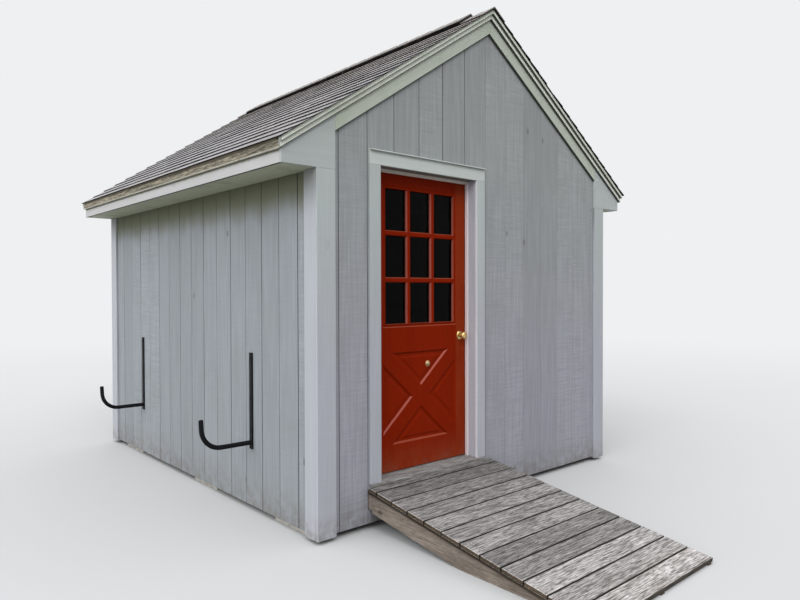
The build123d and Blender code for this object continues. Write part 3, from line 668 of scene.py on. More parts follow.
def mineral(name, colours, **settings):
    """Granules of three colours, dark to pale, pressed into a sheet; each tab has its own mix of them."""
    material, tree, shader = finish(name, 0.95, **settings)
    grain, tone = own_grain(tree)
    bed = used(tree, pressed, Vector=grain, Tone=tone)
    ramp = add(tree, "ShaderNodeValToRGB", {0: bed["Pale"]})
    stops = ramp.color_ramp.elements
    stops.new(0.5)
    for stop, place, colour in zip(stops, (0.15, 0.5, 0.90), colours):
        stop.position = place
        stop.color = (*colour, 1)
    coat = mixed(tree, bed["Rain"], ramp.outputs[0], (0.045, 0.05, 0.04))
    coat = mixed(tree, bed["Faded"], coat, (0.115, 0.088, 0.058))
    feed(tree, shader, coat, bed["Relief"], 0.0012, 0.8)
    return material


def moulded(name, colour, roughness, pitted=0.3, dust_show=0.15, **settings):
    """Plastic, foam or coated metal with a fine texture and some dust."""
    material, tree, shader = finish(name, roughness, **settings)
    film = used(tree, dusty)
    coat = mixed(tree, film["Mottle"], colour, toned(colour, 1.7))
    coat = mixed(tree, times(tree, film["Dust"], dust_show), coat, (0.30, 0.27, 0.23))
    rough = calc(tree, "MULTIPLY_ADD", film["Dull"], 0.18, roughness - 0.06)
    feed(tree, shader, coat, film["Pits"], 0.0008, pitted, rough)
    return material


def metal(name, colour, tarnish, roughness):
    """Bare or plated metal with tarnish and fine scratches."""
    material, tree, shader = finish(name, roughness, Metallic=1.0)
    spots = used(tree, tarnished)
    rough = calc(tree, "MULTIPLY_ADD", spots["Dull"], 0.30, roughness - 0.05)
    coat = mixed(tree, spots["Tarnish"], colour, tarnish)
    feed(tree, shader, coat, spots["Scratches"], 0.0003, 0.15, rough)
    return material


def window_glass(name):
    """Glass with a nearly black tint, painted shade for the dark inside, and a faint film of dust."""
    material, tree, shader = finish(name, 0.03, Transmission_Weight=1.0, IOR=1.12, Specular_IOR_Level=0.2)
    place = on_shed(tree)
    film = clouds(tree, place, 12.0, 5.0, 0.65)
    # A nearly black tint: painted shade for the dark inside of the shed.
    dark_glass_tint = mixed(tree, span(tree, film, 0.45, 0.8, 0.0, 0.5), (0.070, 0.077, 0.073), (0.042, 0.046, 0.044))
    waves = clouds(tree, place, 3.0, 1.0)
    feed(tree, shader, dark_glass_tint, waves, 0.004, 0.2, span(tree, film, 0.35, 0.8, 0.02, 0.09))
    return material


def cast_concrete(name):
    """Cast blocks with pores, stains and soil."""
    material, tree, shader = finish(name, 0.92)
    place = on_shed(tree)
    broad = clouds(tree, place, 7.0, 5.0, 0.65)
    pores = add(tree, "ShaderNodeTexVoronoi", {"Vector": place, "Scale": 160.0}).outputs["Distance"]
    coat = mixed(tree, span(tree, broad, 0.3, 0.7), (0.46, 0.44, 0.40), (0.66, 0.64, 0.60))
    coat = mixed(tree, span(tree, pores, 0.30, 0.12, 0.0, 0.55), coat, (0.22, 0.21, 0.19))
    coat = soiled(tree, coat, 0.06, 0.6, (0.16, 0.13, 0.10))
    feed(tree, shader, coat, calc(tree, "ADD", pores, broad), 0.003)
    return material


# Paints

siding_look = {"wear_colour": (0.42, 0.41, 0.37), "spread": 0.12, "share": 0.03, "scale": 55.0, "saw": 0.7,
               "streaks": 0.09, "knots": 4.2, "knot_show": 0.5, "roughness": 0.75,
               "stain": (0.17, 0.18, 0.165), "stain_show": 0.15, "Specular_IOR_Level": 0.25}
trim_look = {"wear_colour": (0.30, 0.27, 0.22), "spread": 0.05, "saw": 0.1, "streaks": 0.035, "knots": 2.5,
             "knot_show": 0.10, "roughness": 0.6, "Specular_IOR_Level": 0.25}
door_look = {"spread": 0.0, "share": 0.008, "saw": 0.03, "streaks": 0.05, "knots": 2.0, "knot_show": 0.0,
             "roughness": 0.34, "Specular_IOR_Level": 0.02}
green_stain = (0.30, 0.34, 0.29)
crown_foot = rake_drip_width / roof_cos
strip_foot = rake_cap_width / roof_cos
rake_foot = rake_board_width / roof_cos
downwards = (0, 0, -1)

# Painted shade under the rake board; a painted bluish reflection towards the ground.
siding_paint = painted("grey_siding_paint", (0.246, 0.262, 0.264), feet=[(rake_foot, 0.014)],
                       colour_bands=[(downwards, -2.7, -0.7, (0.264, 0.268, 0.306))], **siding_look)
# The long walls darken under the soffit: grime with painted shade.
side_paint = painted("grey_paint_under_the_eaves", (0.240, 0.260, 0.280), ledge=soffit_bottom,
                     reach=(0.09, 0.31), **siding_look)
# Dark paint in the joints: dirt with painted shade.
joint_dirt_and_shade_paint = painted("dirt_and_painted_shade_in_board_joints", (0.070, 0.073, 0.071), **siding_look)
# Painted shade under the rake strips; a painted bluish reflection towards the ground.
trim_paint = painted("pale_grey_trim_paint", (0.360, 0.394, 0.388), share=0.015, splash=0.20, stain_show=0.12,
                     stain=green_stain, feet=[(strip_foot, 0.009)],
                     colour_bands=[(downwards, -2.4, -0.9, (0.345, 0.354, 0.398))], **trim_look)
# Grime with painted shade below the soffit.
side_trim_paint = painted("pale_grey_trim_on_the_long_sides", (0.366, 0.382, 0.416), share=0.015, splash=0.20,
                          ledge=soffit_bottom, reach=(0.02, 0.30), film_share=0.45, **trim_look)
# Paler than the side casings: painted light against the shade of the drip cap and the eave.
lit_head_casing_paint = painted("head_casing_paint_with_painted_light", (0.45, 0.485, 0.468), share=0.02, stain_show=0.10,
                     stain=green_stain, **trim_look)
# Painted shade in a line under the cap strip.
rake_paint = painted("green_stained_trim_paint", (0.385, 0.420, 0.365), share=0.04, stain_show=0.35,
                     stain=(0.27, 0.32, 0.23), feet=[(strip_foot, 0.009)], **trim_look)
# Paler than the rake boards: painted light against the shade under the shingles.
lit_crown_paint = painted("pale_green_crown_paint_with_painted_light", (0.66, 0.70, 0.62), share=0.04, stain_show=0.35,
                      stain=(0.36, 0.41, 0.30), feet=[(crown_foot, 0.008)], **trim_look)
# Darker paint for the plumb ends of the strips: painted shade.
shaded_strip_end_paint = painted("painted_shade_on_the_strip_ends", (0.23, 0.25, 0.225), share=0.04, **trim_look)
# Dark paint for the undersides of trim: painted shade.
underside_shade_paint = painted("painted_shade_under_the_trim", (0.060, 0.066, 0.054), share=0.0, **trim_look)
ledge_paint = painted("worn_ledge_paint", (0.36, 0.35, 0.31), share=0.35, stain_show=0.5,
                      stain=(0.16, 0.14, 0.10), **trim_look)
# A warm tint painted for light thrown up from the ground, over moss stains.
soffit_paint = painted("mossy_soffit_paint_with_painted_warm_bounce", (0.47, 0.495, 0.375), share=0.03, stain_show=0.5,
                       stain=(0.25, 0.29, 0.17), **trim_look)
# Grime with painted shade just under the eave strip.
fascia_paint = painted("peeling_fascia_paint", (0.43, 0.425, 0.43), share=0.03, stain_show=0.1,
                       stain=(0.30, 0.27, 0.22), ledge=deck_under(eave_x) - eave_strip_height,
                       reach=(0.004, 0.022), **trim_look)
jamb_paint = painted("grey_jamb_paint", (0.405, 0.405, 0.455), share=0.01, **trim_look)
# The underside of the head jamb: painted shade.
shaded_jamb_paint = painted("painted_shade_under_the_head", (0.14, 0.135, 0.125), share=0.01, **trim_look)
stop_paint = painted("warm_white_stop_paint", (0.56, 0.50, 0.45), share=0.0, **trim_look)
# A painted pink reflection of the red door on the side stops.
side_stop_highlight_paint = painted("white_stop_paint_with_painted_pink_reflection", (0.66, 0.57, 0.585), share=0.0, **trim_look)
# A painted highlight on the left-looking side of the right casing.
casing_edge_highlight_paint = painted("painted_highlight_on_the_casing_edge", (0.56, 0.56, 0.60), share=0.0, **trim_look)

stile_width = 0.100
washed_red = (0.205, 0.0260, 0.0070)
door_paint = painted("barn_red_door_paint", (0.180, 0.0110, 0.0012), (0.12, 0.03, 0.02), splash=0.5,
                     stain=(0.145, 0.008, 0.001), stain_show=0.35,
                     colour_bands=[((1, 0, 0), door_right - stile_width - 0.001, door_right - stile_width + 0.001,
                              washed_red),
                             (downwards, -door_bottom - 0.26, -door_bottom, washed_red)], **door_look)
# Painted highlights on the door's slopes that face the light.
door_slope_highlight_paint = painted("painted_highlight_on_the_door_slopes", (0.31, 0.082, 0.062), (0.24, 0.10, 0.07),
                          **door_look)
door_top_highlight_paint = painted("painted_highlight_on_the_upward_door_slopes", (0.225, 0.047, 0.024), (0.18, 0.07, 0.05),
                           **door_look)


# Bare wood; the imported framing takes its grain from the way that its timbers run

quarter_turn = math.pi / 2
pine_look = {"spread": 0.2, "rings": 9.0, "roughness": 0.8}
framing_wood = bare_timber("sawn_pine_framing", (0.62, 0.44, 0.26), (0.42, 0.25, 0.12),
                           turn=(0, quarter_turn, 0), **pine_look)
framing_along_x = bare_timber("sawn_pine_across", (0.62, 0.44, 0.26), (0.42, 0.25, 0.12), turn=(0, 0, 0),
                              **pine_look)
framing_along_y = bare_timber("sawn_pine_lengthways", (0.60, 0.43, 0.26), (0.40, 0.24, 0.12),
                              turn=(0, 0, quarter_turn), **pine_look)
eave_edge = deck_top(eave_x)
weathered_along_y = bare_timber("aged_roof_deck", (0.30, 0.240, 0.170), (0.18, 0.135, 0.090), rings=9.0,
                                turn=(0, 0, quarter_turn), blotch=0.6,
                                under=(upright, eave_edge - 0.003, eave_edge - 0.006, (0.085, 0.075, 0.055)))
deck_wood = bare_timber("weathered_ramp_boards", (0.262, 0.250, 0.246), (0.12, 0.114, 0.109), spread=1.2,
                        rings=20.0, ring_show=0.35, knots=5.0, flecks=0.66, blotch=0.3)
# The sides of the ramp boards in the gaps: damp wood with painted shade.
gap_shade_wood = bare_timber("damp_wood_and_painted_shade_between_ramp_boards", (0.030, 0.027, 0.022), (0.016, 0.014, 0.012),
                       spread=0.2, flecks=0.3)
end_wood = bare_timber("brown_ends_of_ramp_boards", (0.080, 0.058, 0.037), (0.045, 0.032, 0.020),
                       spread=0.6, flecks=0.5)
# A painted highlight on the left-looking edges of the ramp boards.
lit_edge_wood = bare_timber("painted_highlight_on_ramp_board_edges", (0.40, 0.38, 0.365), (0.24, 0.225, 0.215), spread=0.5,
                        flecks=0.6)
down_ramp = Vector((0, ramp_fall, -ramp_run)).normalized()
walked_level = down_ramp.dot(Vector((0, ramp_back, ramp_top)))
# The darker band along the top of the stringer, under the boards, is damp with painted shade.
stringer_wood = bare_timber("brown_ramp_stringer", (0.195, 0.166, 0.142), (0.130, 0.105, 0.085), spread=0.1,
                            rings=6.0, ring_show=0.3, splash=0.10, flecks=0.25, blotch=0.5,
                            under=(down_ramp, walked_level + 0.064, walked_level + 0.046,
                                   (0.014, 0.008, 0.002)))
sill_wood = bare_timber("weathered_sill", (0.24, 0.235, 0.23), (0.13, 0.125, 0.12), spread=0.05, rings=20.0,
                        flecks=0.45)
eave_wood = bare_timber("weathered_eave_strip", (0.235, 0.212, 0.160), (0.075, 0.068, 0.050), spread=0.1,
                        rings=6.0, ring_show=0.2, flecks=0.6, blotch=0.6)


# Shingles, plastic, metal, glass and concrete

shingle_grit = mineral("weathered_shingle_granules",
                       ((0.045, 0.040, 0.046), (0.175, 0.163, 0.176), (0.38, 0.355, 0.37)),
                       Sheen_Weight=1.0, Sheen_Roughness=0.35)
# Dirt with painted shade in the lap just under each butt.
shaded_grit = mineral("dirt_and_painted_shade_in_the_lap",
                      ((0.02, 0.018, 0.020), (0.06, 0.054, 0.058), (0.12, 0.11, 0.115)))
shingle_edge = moulded("cut_shingle_edges", (0.007, 0.006, 0.007), 0.9, dust_show=0.03,
                       Specular_IOR_Level=0.1)
vent_plastic = moulded("black_vent_plastic", (0.006, 0.006, 0.007), 0.5, Specular_IOR_Level=0.15)
rack_coat = moulded("black_rack_coating", (0.004, 0.004, 0.005), 0.45, pitted=0.2, dust_show=0.02,
                    Specular_IOR_Level=0.1)
rack_foam = moulded("black_foam_sleeve", (0.006, 0.006, 0.007), 0.85, pitted=0.9, dust_show=0.03,
                    Specular_IOR_Level=0.1)
knob_brass = metal("lacquered_brass", (0.72, 0.50, 0.20), (0.38, 0.26, 0.11), 0.20)
boss_brass = metal("tarnished_brass", (0.46, 0.33, 0.17), (0.20, 0.14, 0.08), 0.34)
hinge_steel = metal("zinc_plated_steel", (0.60, 0.59, 0.57), (0.34, 0.31, 0.28), 0.34)
nail_steel = metal("rusted_nail_heads", (0.20, 0.17, 0.15), (0.16, 0.07, 0.035), 0.6)
pane_glass = window_glass("window_glass")
block_concrete = cast_concrete("cast_concrete_blocks")


# Wall boards

def wall_edges(half, first):
    """Edges of the boards of a wall, which are counted both ways from the first one."""
    count = int((half - abs(first)) / board_exposure)
    inner = [first + board_exposure * i for i in range(-count, count + 1)]
    return [-half] + inner + [half]


def gable_gap(s):
    """Joints to the left of the doorway have opened; the others are still full of paint."""
    return 0.0045 if s < -0.1 else 0.0012


def side_gap(s):
    """Every other joint of a long wall has opened further."""
    return 0.008 if round((s - side_first) / board_exposure) % 2 else 0.0045


def clad(work, outline, place, inward, gap):
    """One wall board over its tongue: the face board stops short of the joints on either side; its sides
    in the joints and the tongue take dark paint, dirt with painted shade.
    """
    left = min(s for s, z in outline)
    right = max(s for s, z in outline)
    shy = [(min(max(s, left + gap(left) / 2), right - gap(right) / 2), z) for s, z in outline]
    lift = chance.uniform(0.0, 0.0006)
    face = [place(s, lift, z) for s, z in shy]
    across = inward.cross(Vector(upright))
    lay(work, sawn(face, inward * (joint_depth - lift), (0.002, 1)),
        finish=lambda board: int(abs(board.normal.dot(across)) > 0.8))
    tongue = [place(s, joint_depth, z) for s, z in outline]
    lay(work, sawn(tongue, inward * (siding_y - sheath_y - joint_depth), raw_edge), finish=1)


def cut_at_doorway(a, b):
    """The outlines that the doorway leaves of a board between two edges: over it and under its sill."""
    left = max(a, rough_left)
    right = min(b, rough_right)
    top = [(b, deck_under(b)), (a, deck_under(a))]
    skirt = [(left, siding_bottom), (right, siding_bottom), (right, floor_top), (left, floor_top)]
    if left > a:
        over = [(a, siding_bottom), (left, siding_bottom), (left, rough_top), (b, rough_top)] + top
    elif right < b:
        over = [(right, siding_bottom), (b, siding_bottom)] + top + [(a, rough_top), (right, rough_top)]
    else:
        over = [(a, rough_top), (b, rough_top)] + top
    return [over, skirt]


def gable_boards(work, front):
    """The boards of a gable wall; those of the front are cut round the doorway."""
    side = -1 if front else 1
    inward = Vector((0, -side, 0))
    edges = wall_edges(siding_x, gable_first)
    for a, b in zip(edges, edges[1:]):
        cuts = [[(a, siding_bottom), (b, siding_bottom), (b, deck_under(b)), (a, deck_under(a))]]
        if front and a < rough_right and b > rough_left:
            cuts = cut_at_doorway(a, b)
        for outline in cuts:
            clad(work, outline, lambda s, d, z: (s, side * (siding_y - d), z), inward, gable_gap)


def side_boards(work, side):
    """The boards of a long wall, on the left (-1) or right (1)."""
    inward = Vector((-side, 0, 0))
    edges = wall_edges(sheath_y, side_first)
    for a, b in zip(edges, edges[1:]):
        outline = [(a, siding_bottom), (b, siding_bottom), (b, soffit_bottom), (a, soffit_bottom)]
        clad(work, outline, lambda s, d, z: (side * (siding_x - d), s, z), inward, side_gap)


work = bench()
gable_boards(work, True)
lay(work, squared((rough_left, -sheath_y, sheathing_bottom), (rough_right, -frame_y, floor_top), raw_edge))
piece("front_wall_boards", work, [siding_paint, joint_dirt_and_shade_paint], "siding_paint",
      ["front_siding_sides", "front_siding_gable", "front_skirt"])
work = bench()
gable_boards(work, False)
piece("back_wall_boards", work, [siding_paint, joint_dirt_and_shade_paint], "siding_paint", ["back_siding"])
for side, hand in ((-1, "left"), (1, "right")):
    work = bench()
    side_boards(work, side)
    piece(f"{hand}_wall_boards", work, [side_paint, joint_dirt_and_shade_paint], "siding_paint", [f"{hand}_siding"])


# Corner boards, eaves and gable trim

corners = [(sx, sy) for sx in (-1, 1) for sy in (-1, 1)]
inner_x = -trim_x + corner_board_width
inner_y = -trim_y + corner_board_width
fascia_back = fascia_x - board_thickness
strip_setback = 0.003


def at(sx, sy, points):
    """Points of a left front piece, moved to another corner by the signs of its sides."""
    return [(x * -sx, y * -sy, z) for x, y, z in points]


def standing(start, end):
    """The outline of a corner board's face between two points of the plan."""
    return [(*start, corner_bottom), (*end, corner_bottom), (*end, soffit_bottom), (*start, soffit_bottom)]


def eave_board(work, side, section, half, edge=cut_edge, finish=0):
    """A board along an eave, sawn to its section and as long to the front as to the back."""
    outline = [(side * x, -half, z) for x, z in section]
    lay(work, sawn(outline, (0, 2 * half, 0), edge), along_y, finish=finish)


work = bench()
for sx, sy in corners:
    face = at(sx, sy, standing((-trim_x, -trim_y), (inner_x, -trim_y)))
    lay(work, sawn(face, (0, -sy * (trim_y - siding_y), 0), trim_edge), finish=facing_sideways)
    flank = at(sx, sy, standing((-trim_x, -siding_y), (-trim_x, inner_y)))
    lay(work, sawn(flank, (-sx * (trim_x - siding_x), 0, 0), trim_edge), finish=facing_sideways)
piece("corner_board_pairs", work, [trim_paint, side_trim_paint], "trim_paint", ["corner_boards"])

work = bench()
for side in (-1, 1):
    for x0, x1, y1 in ((siding_x, fascia_back, siding_y), (sheath_x, siding_x, sheath_y)):
        low, high = sorted((side * x0, side * x1))
        board = squared((low, -y1, soffit_bottom), (high, y1, soffit_bottom + soffit_thickness), (0.0008, 1))
        lay(work, board, along_y)
piece("soffit_boards", work, [soffit_paint], "trim_paint", ["soffits"])

work = bench()
for side in (-1, 1):
    section = [(fascia_x, soffit_bottom), (fascia_back, soffit_bottom)]
    section += [(x, deck_under(x)) for x in (fascia_back, fascia_x)]
    eave_board(work, side, section, siding_y, finish=facing_down)
piece("fascia_boards", work, [fascia_paint, underside_shade_paint], "trim_paint", ["fascias"])

work = bench()
strip_x = eave_x - strip_setback
strip_bottom = deck_under(eave_x) - eave_strip_height
ledge_top = strip_bottom + eave_ledge_height
for side in (-1, 1):
    section = [(strip_x, ledge_top), (fascia_x, ledge_top), (fascia_x, deck_under(fascia_x))]
    eave_board(work, side, section + [(strip_x, deck_under(eave_x))], trim_y, narrow_edge)
    section = [(eave_x, strip_bottom), (fascia_x, strip_bottom), (fascia_x, ledge_top), (eave_x, ledge_top)]
    eave_board(work, side, section, trim_y, finish=1)
piece("eave_strips", work, [eave_wood, ledge_paint], "bare_wood", ["eave_caps"])

work = bench()
for sx, sy in corners:
    face = [(-fascia_x, -trim_y, soffit_bottom), (inner_x, -trim_y, soffit_bottom)]
    face += [(inner_x, -trim_y, deck_top(inner_x)), (-fascia_x, -trim_y, deck_top(fascia_x))]
    lay(work, sawn(at(sx, sy, face), (0, -sy * (trim_y - siding_y), 0), narrow_edge), along_x)
piece("eave_return_boards", work, [trim_paint], "trim_paint", ["eave_returns"])


def rake_strip(work, sx, sy, outer, width, proud, finish):
    """A sloping board from the eave to the ridge, plumb cut, proud of the corners by some boards."""
    drop = width / roof_cos
    foot = deck_top(outer)
    front = -trim_y - proud * board_thickness
    points = [(-outer, front, foot), (0, front, roof_peak), (0, front, roof_peak - drop)]
    points.append((-outer, front, foot - drop))
    lay(work, sawn(at(sx, sy, points), (0, -sy * board_thickness, 0), strip_edge),
        (sx * roof_cos, 0, -roof_sin), finish=finish)


for sx, hand in ((-1, "left"), (1, "right")):
    work = bench()
    for sy in (-1, 1):
        rake_strip(work, sx, sy, trim_x - corner_board_width, rake_board_width, 0, facing_down)
    piece(f"{hand}_rake_board_pair", work, [rake_paint, underside_shade_paint], "trim_paint", [f"{hand}_rake_boards"])
    work = bench()
    for sy in (-1, 1):
        rake_strip(work, sx, sy, eave_x, rake_cap_width, 1, strip_faces)
        rake_strip(work, sx, sy, eave_x, rake_drip_width, 2, strip_faces)
    piece(f"{hand}_rake_crown_strips", work, [lit_crown_paint, underside_shade_paint, shaded_strip_end_paint], "trim_paint",
          [f"{hand}_rake_caps"])


# Roof covering

lap_hidden = 0.020
lap_shaded = 0.028
tab_widths = (0.11, 0.15, 0.19, 0.24, 0.30)
least_tab = 0.03
butt_top = 0.0112
eave_butt_top = 0.0086
felt_thickness = 0.0015
felt_inset = 0.004
tab_arris = 0.0006
lay_gap = 0.0006
cap_thickness = 0.0078
cap_drop = 0.0032
vent_rise = 0.018
vent_lid_width = 0.118
slat_count = 240
slat_width = 0.004
slat_inset = 0.007
slat_near, slat_far, slat_rise = 0.116, 0.139, 0.0196


def slope_point(side, down, lift, y):
    """A point on a roof slope, by its distance down from the ridge and its height off the deck."""
    x = down * roof_cos + lift * roof_sin
    return Vector((side * x, y, roof_peak - down * roof_sin + lift * roof_cos))


def tab(work, side, head, butt, top, thick, y0, y1):
    """One shingle tab: thin at its head, where its lap takes dirt with painted shade,
    square and dark at its butt.
    """
    lap = head + lap_hidden + lap_shaded
    section = [(head, 0.0004), (head, 0.0012), (lap, 0.0026), (butt - tab_arris, top)]
    section += [(butt, top - tab_arris), (butt, top - thick)]
    outline = [slope_point(side, down, height, y0) for down, height in section]
    lap_x = abs(outline[2].x)

    def which(face):
        if face.normal.z < 0 or abs(face.normal.y) > 0.9:
            return 1
        return 2 if abs(face.calc_center_median().x) < lap_x else 0

    lay(work, sawn(outline, (0, y1 - y0, 0), raw_edge), along_y, finish=which)


def shingle_side(work, side):
    """The courses of one slope, their tabs staggered and laid by hand, over a felt."""
    course = (shingle_x - shingle_butt * roof_sin) / roof_cos / course_count
    start = 0.002
    end = course * course_count - 0.006
    felt = [slope_point(side, down, lift, -shingle_y + felt_inset)
            for down, lift in ((start, 0.0), (start, felt_thickness), (end, felt_thickness), (end, 0.0))]
    lay(work, sawn(felt, (0, 2 * (shingle_y - felt_inset), 0), raw_edge), along_y, tone=0.1, finish=1)
    for row in range(course_count):
        head = max(start, row * course - lap_hidden)
        sag = chance.uniform(0, 40)
        y = -shingle_y - chance.uniform(0.0, 0.25)
        while y < shingle_y - least_tab:
            width = chance.choice(tab_widths)
            low = max(y, -shingle_y)
            high = min(y + width, shingle_y)
            y += width
            if high - low < least_tab:
                continue
            butt = (row + 1) * course - chance.uniform(0.0, 0.005)
            butt -= 0.004 * (noise.noise(Vector((y * 1.3, sag, 0))) + 0.5)
            top = 0.0085 + 0.0026 * noise.noise(Vector((y * 1.7, sag, 5))) + chance.uniform(-0.0006, 0.0006)
            top = min(top, eave_butt_top if row == course_count - 1 else butt_top)
            thick = top - chance.uniform(0.0008, 0.0020)
            tab(work, side, head, butt, top, thick, low + lay_gap, high - lay_gap)


for side, hand in ((-1, "left"), (1, "right")):
    work = bench()
    shingle_side(work, side)
    piece(f"{hand}_shingle_courses", work, [shingle_grit, shingle_edge, shaded_grit], "shingle",
          [f"{hand}_shingles"])


def ridge_strip(work, y0, y1, width, low, high, drop=0.0, edge=crisp_edge):
    """A strip folded over the ridge, between two heights off the slopes; its far end drops."""
    part = bmesh.new()
    base = low / roof_cos
    rise = high / roof_cos
    run = width * roof_cos
    outline = [(x, y0, deck_top(x) + lift)
               for x, lift in ((-run, base), (0, base), (run, base), (run, rise), (0, rise), (-run, rise))]
    for point in pushed(part, outline, (0, y1 - y0, 0)):
        if point.co.z - deck_top(point.co.x) > (base + rise) / 2:
            point.co.z -= drop
    lay(work, eased(part, edge), along_y)


work = bench()
for y0, y1, seat in ((-vent_half, vent_half, shingle_butt + vent_thickness),
                     (-shingle_y, -vent_half, shingle_butt), (vent_half, shingle_y, shingle_butt)):
    count = max(1, round((y1 - y0) / ridge_cap_size))
    step = (y1 - y0) / count
    for i in range(count):
        start = y0 + i * step
        width = ridge_cap_size - chance.uniform(0.0, 0.004)
        ridge_strip(work, start + lay_gap, start + step, width, seat, seat + cap_thickness, cap_drop)
piece("ridge_cap_shingles", work, [shingle_grit], "shingle", ["ridge_cap"])

work = bench()
ridge_strip(work, -vent_half, vent_half, vent_lid_width, shingle_butt, shingle_butt + vent_rise,
            edge=cut_edge)
slat_top = shingle_butt + slat_rise
slat_section = ((slat_near, shingle_butt), (slat_far, shingle_butt),
                (slat_far, slat_top), (slat_near, slat_top))
slat_run = 2 * (vent_half - slat_inset)
for side in (-1, 1):
    for i in range(slat_count):
        y = -vent_half + slat_inset + i * slat_run / (slat_count - 1) - slat_width / 2
        outline = [slope_point(side, down, lift, y) for down, lift in slat_section]
        lay(work, sawn(outline, (0, slat_width, 0), raw_edge), along_y)
piece("ridge_vent_strip", work, [vent_plastic], "vent_plastic", ["ridge_vent"])


# Doorway

casing_foot = sill_top - sill_fall
casing_left = opening_left - casing_width
casing_right = opening_right + casing_width
head_top = opening_top + casing_width
drip_reach = 0.016
drip_back = 0.014
drip_front = 0.007
stop_end = door_face - stop_gap
stop_start = stop_end - stop_width

work = bench()
for side, edge, rough in ((1, opening_left, rough_left), (-1, opening_right, rough_right)):
    low, high = sorted((rough, edge))
    lay(work, squared((low, -siding_y, sill_top), (high, door_back, opening_top), crisp_edge))
    low, high = sorted((edge, edge + side * stop_thickness))
    lay(work, squared((low, stop_start, sill_top), (high, stop_end, opening_top), narrow_edge), finish=1)
piece("side_jambs_with_stops", work, [jamb_paint, side_stop_highlight_paint], "trim_paint", ["side_jambs"])

work = bench()
head = squared((rough_left, -siding_y, opening_top), (rough_right, door_back, rough_top), crisp_edge)
lay(work, head, along_x, finish=facing_down)
low = (opening_left + stop_thickness, stop_start, opening_top - head_stop_thickness)
high = (opening_right - stop_thickness, stop_end, opening_top)
lay(work, squared(low, high, narrow_edge), along_x, finish=2)
piece("head_jamb_with_stop", work, [jamb_paint, shaded_jamb_paint, stop_paint], "trim_paint", ["head_jamb"])

dressed("door_sill_board", "door_sill", trim_edge, [sill_wood], "bare_wood", along_x)

work = bench()
for low, high, taken in ((casing_left, opening_left, 0), (opening_right, casing_right, facing_left)):
    board = squared((low, -trim_y, casing_foot), (high, -siding_y, opening_top), trim_edge)
    lay(work, board, finish=taken)
piece("side_casing_boards", work, [trim_paint, casing_edge_highlight_paint], "trim_paint", ["side_casings"])

work = bench()
board = squared((casing_left, -trim_y, opening_top), (casing_right, -siding_y, head_top), trim_edge)
lay(work, board, along_x)
drip_y = -trim_y - drip_reach
section = [(-siding_y, head_top), (-siding_y, head_top + drip_back), (drip_y, head_top + drip_front)]
section.append((drip_y, head_top))
drip_cap = [(casing_left, y, z) for y, z in section]
lay(work, sawn(drip_cap, (casing_right - casing_left, 0, 0), strip_edge), along_x)
piece("head_casing_and_drip_cap", work, [lit_head_casing_paint], "trim_paint", ["head_casing"])


# Door leaf and its furniture; a profile gives radius and reach from the leaf

leaf_faces = ((door_face, -1), (door_back, 1))
spindle_half = 0.0045
spindle_reach = 0.008
rose_profile = [(0.0082, 0.0), (0.0335, 0.0), (0.0333, 0.0016), (0.0318, 0.0030), (0.0290, 0.0034),
                (0.0275, 0.0052), (0.0235, 0.0062), (0.0205, 0.0078), (0.0082, 0.0080), (0.0082, 0.0)]
knob_profile = [(0.0, 0.0086), (0.0100, 0.0086), (0.0100, 0.0105), (0.0092, 0.0125), (0.0080, 0.0170),
                (0.0078, 0.0235), (0.0092, 0.0285), (0.0150, 0.0320), (0.0215, 0.0350), (0.0258, 0.0392),
                (0.0270, 0.0438), (0.0262, 0.0485), (0.0232, 0.0530), (0.0180, 0.0562), (0.0110, 0.0577),
                (0.0, 0.0580)]
boss_profile = [(0.0, 0.0), (0.0218, 0.0), (0.0220, 0.0014), (0.0205, 0.0026), (0.0186, 0.0030),
                (0.0178, 0.0048), (0.0162, 0.0085), (0.0130, 0.0118), (0.0085, 0.0140), (0.0040, 0.0149),
                (0.0, 0.0150)]
knob_middle = sum(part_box("door_knobs"), Vector()) / 2
boss_middle = sum(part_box("door_boss"), Vector()) / 2
boss_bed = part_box("door_boss")[1].y

dressed("door_leaf_painted", "door_leaf", (0.0014, 1), [door_paint, door_slope_highlight_paint, door_top_highlight_paint],
        "door_paint", finish=lit_door_slopes, body="door")

work = bench()
for y, outward in leaf_faces:
    lay(work, turned(rose_profile, (knob_middle.x, y, knob_middle.z), outward), along_y)
piece("knob_rose_plates", work, [knob_brass], "brass", ["knob_rosettes"], "door", smooth=30)

work = bench()
low = (knob_middle.x - spindle_half, door_face - spindle_reach, knob_middle.z - spindle_half)
high = (knob_middle.x + spindle_half, door_back + spindle_reach, knob_middle.z + spindle_half)
lay(work, squared(low, high, (0.0006, 1)), along_y)
for y, outward in leaf_faces:
    lay(work, turned(knob_profile, (knob_middle.x, y, knob_middle.z), outward), along_y)
piece("turned_brass_knobs", work, [knob_brass], "brass", ["door_knobs"], "knob", smooth=40)

work = bench()
lay(work, turned(boss_profile, (boss_middle.x, boss_bed, boss_middle.z), -1), along_y)
piece("domed_brass_boss", work, [boss_brass], "brass", ["door_boss"], "door", smooth=40)

for name, node, body in (("door_side_hinges", "door_hinge_leaves", "door"),
                         ("jamb_side_hinges", "jamb_hinge_leaves", "shed")):
    dressed(name, node, (0.0003, 1), [hinge_steel], "steel", body=body, smooth=35)


# Ramp

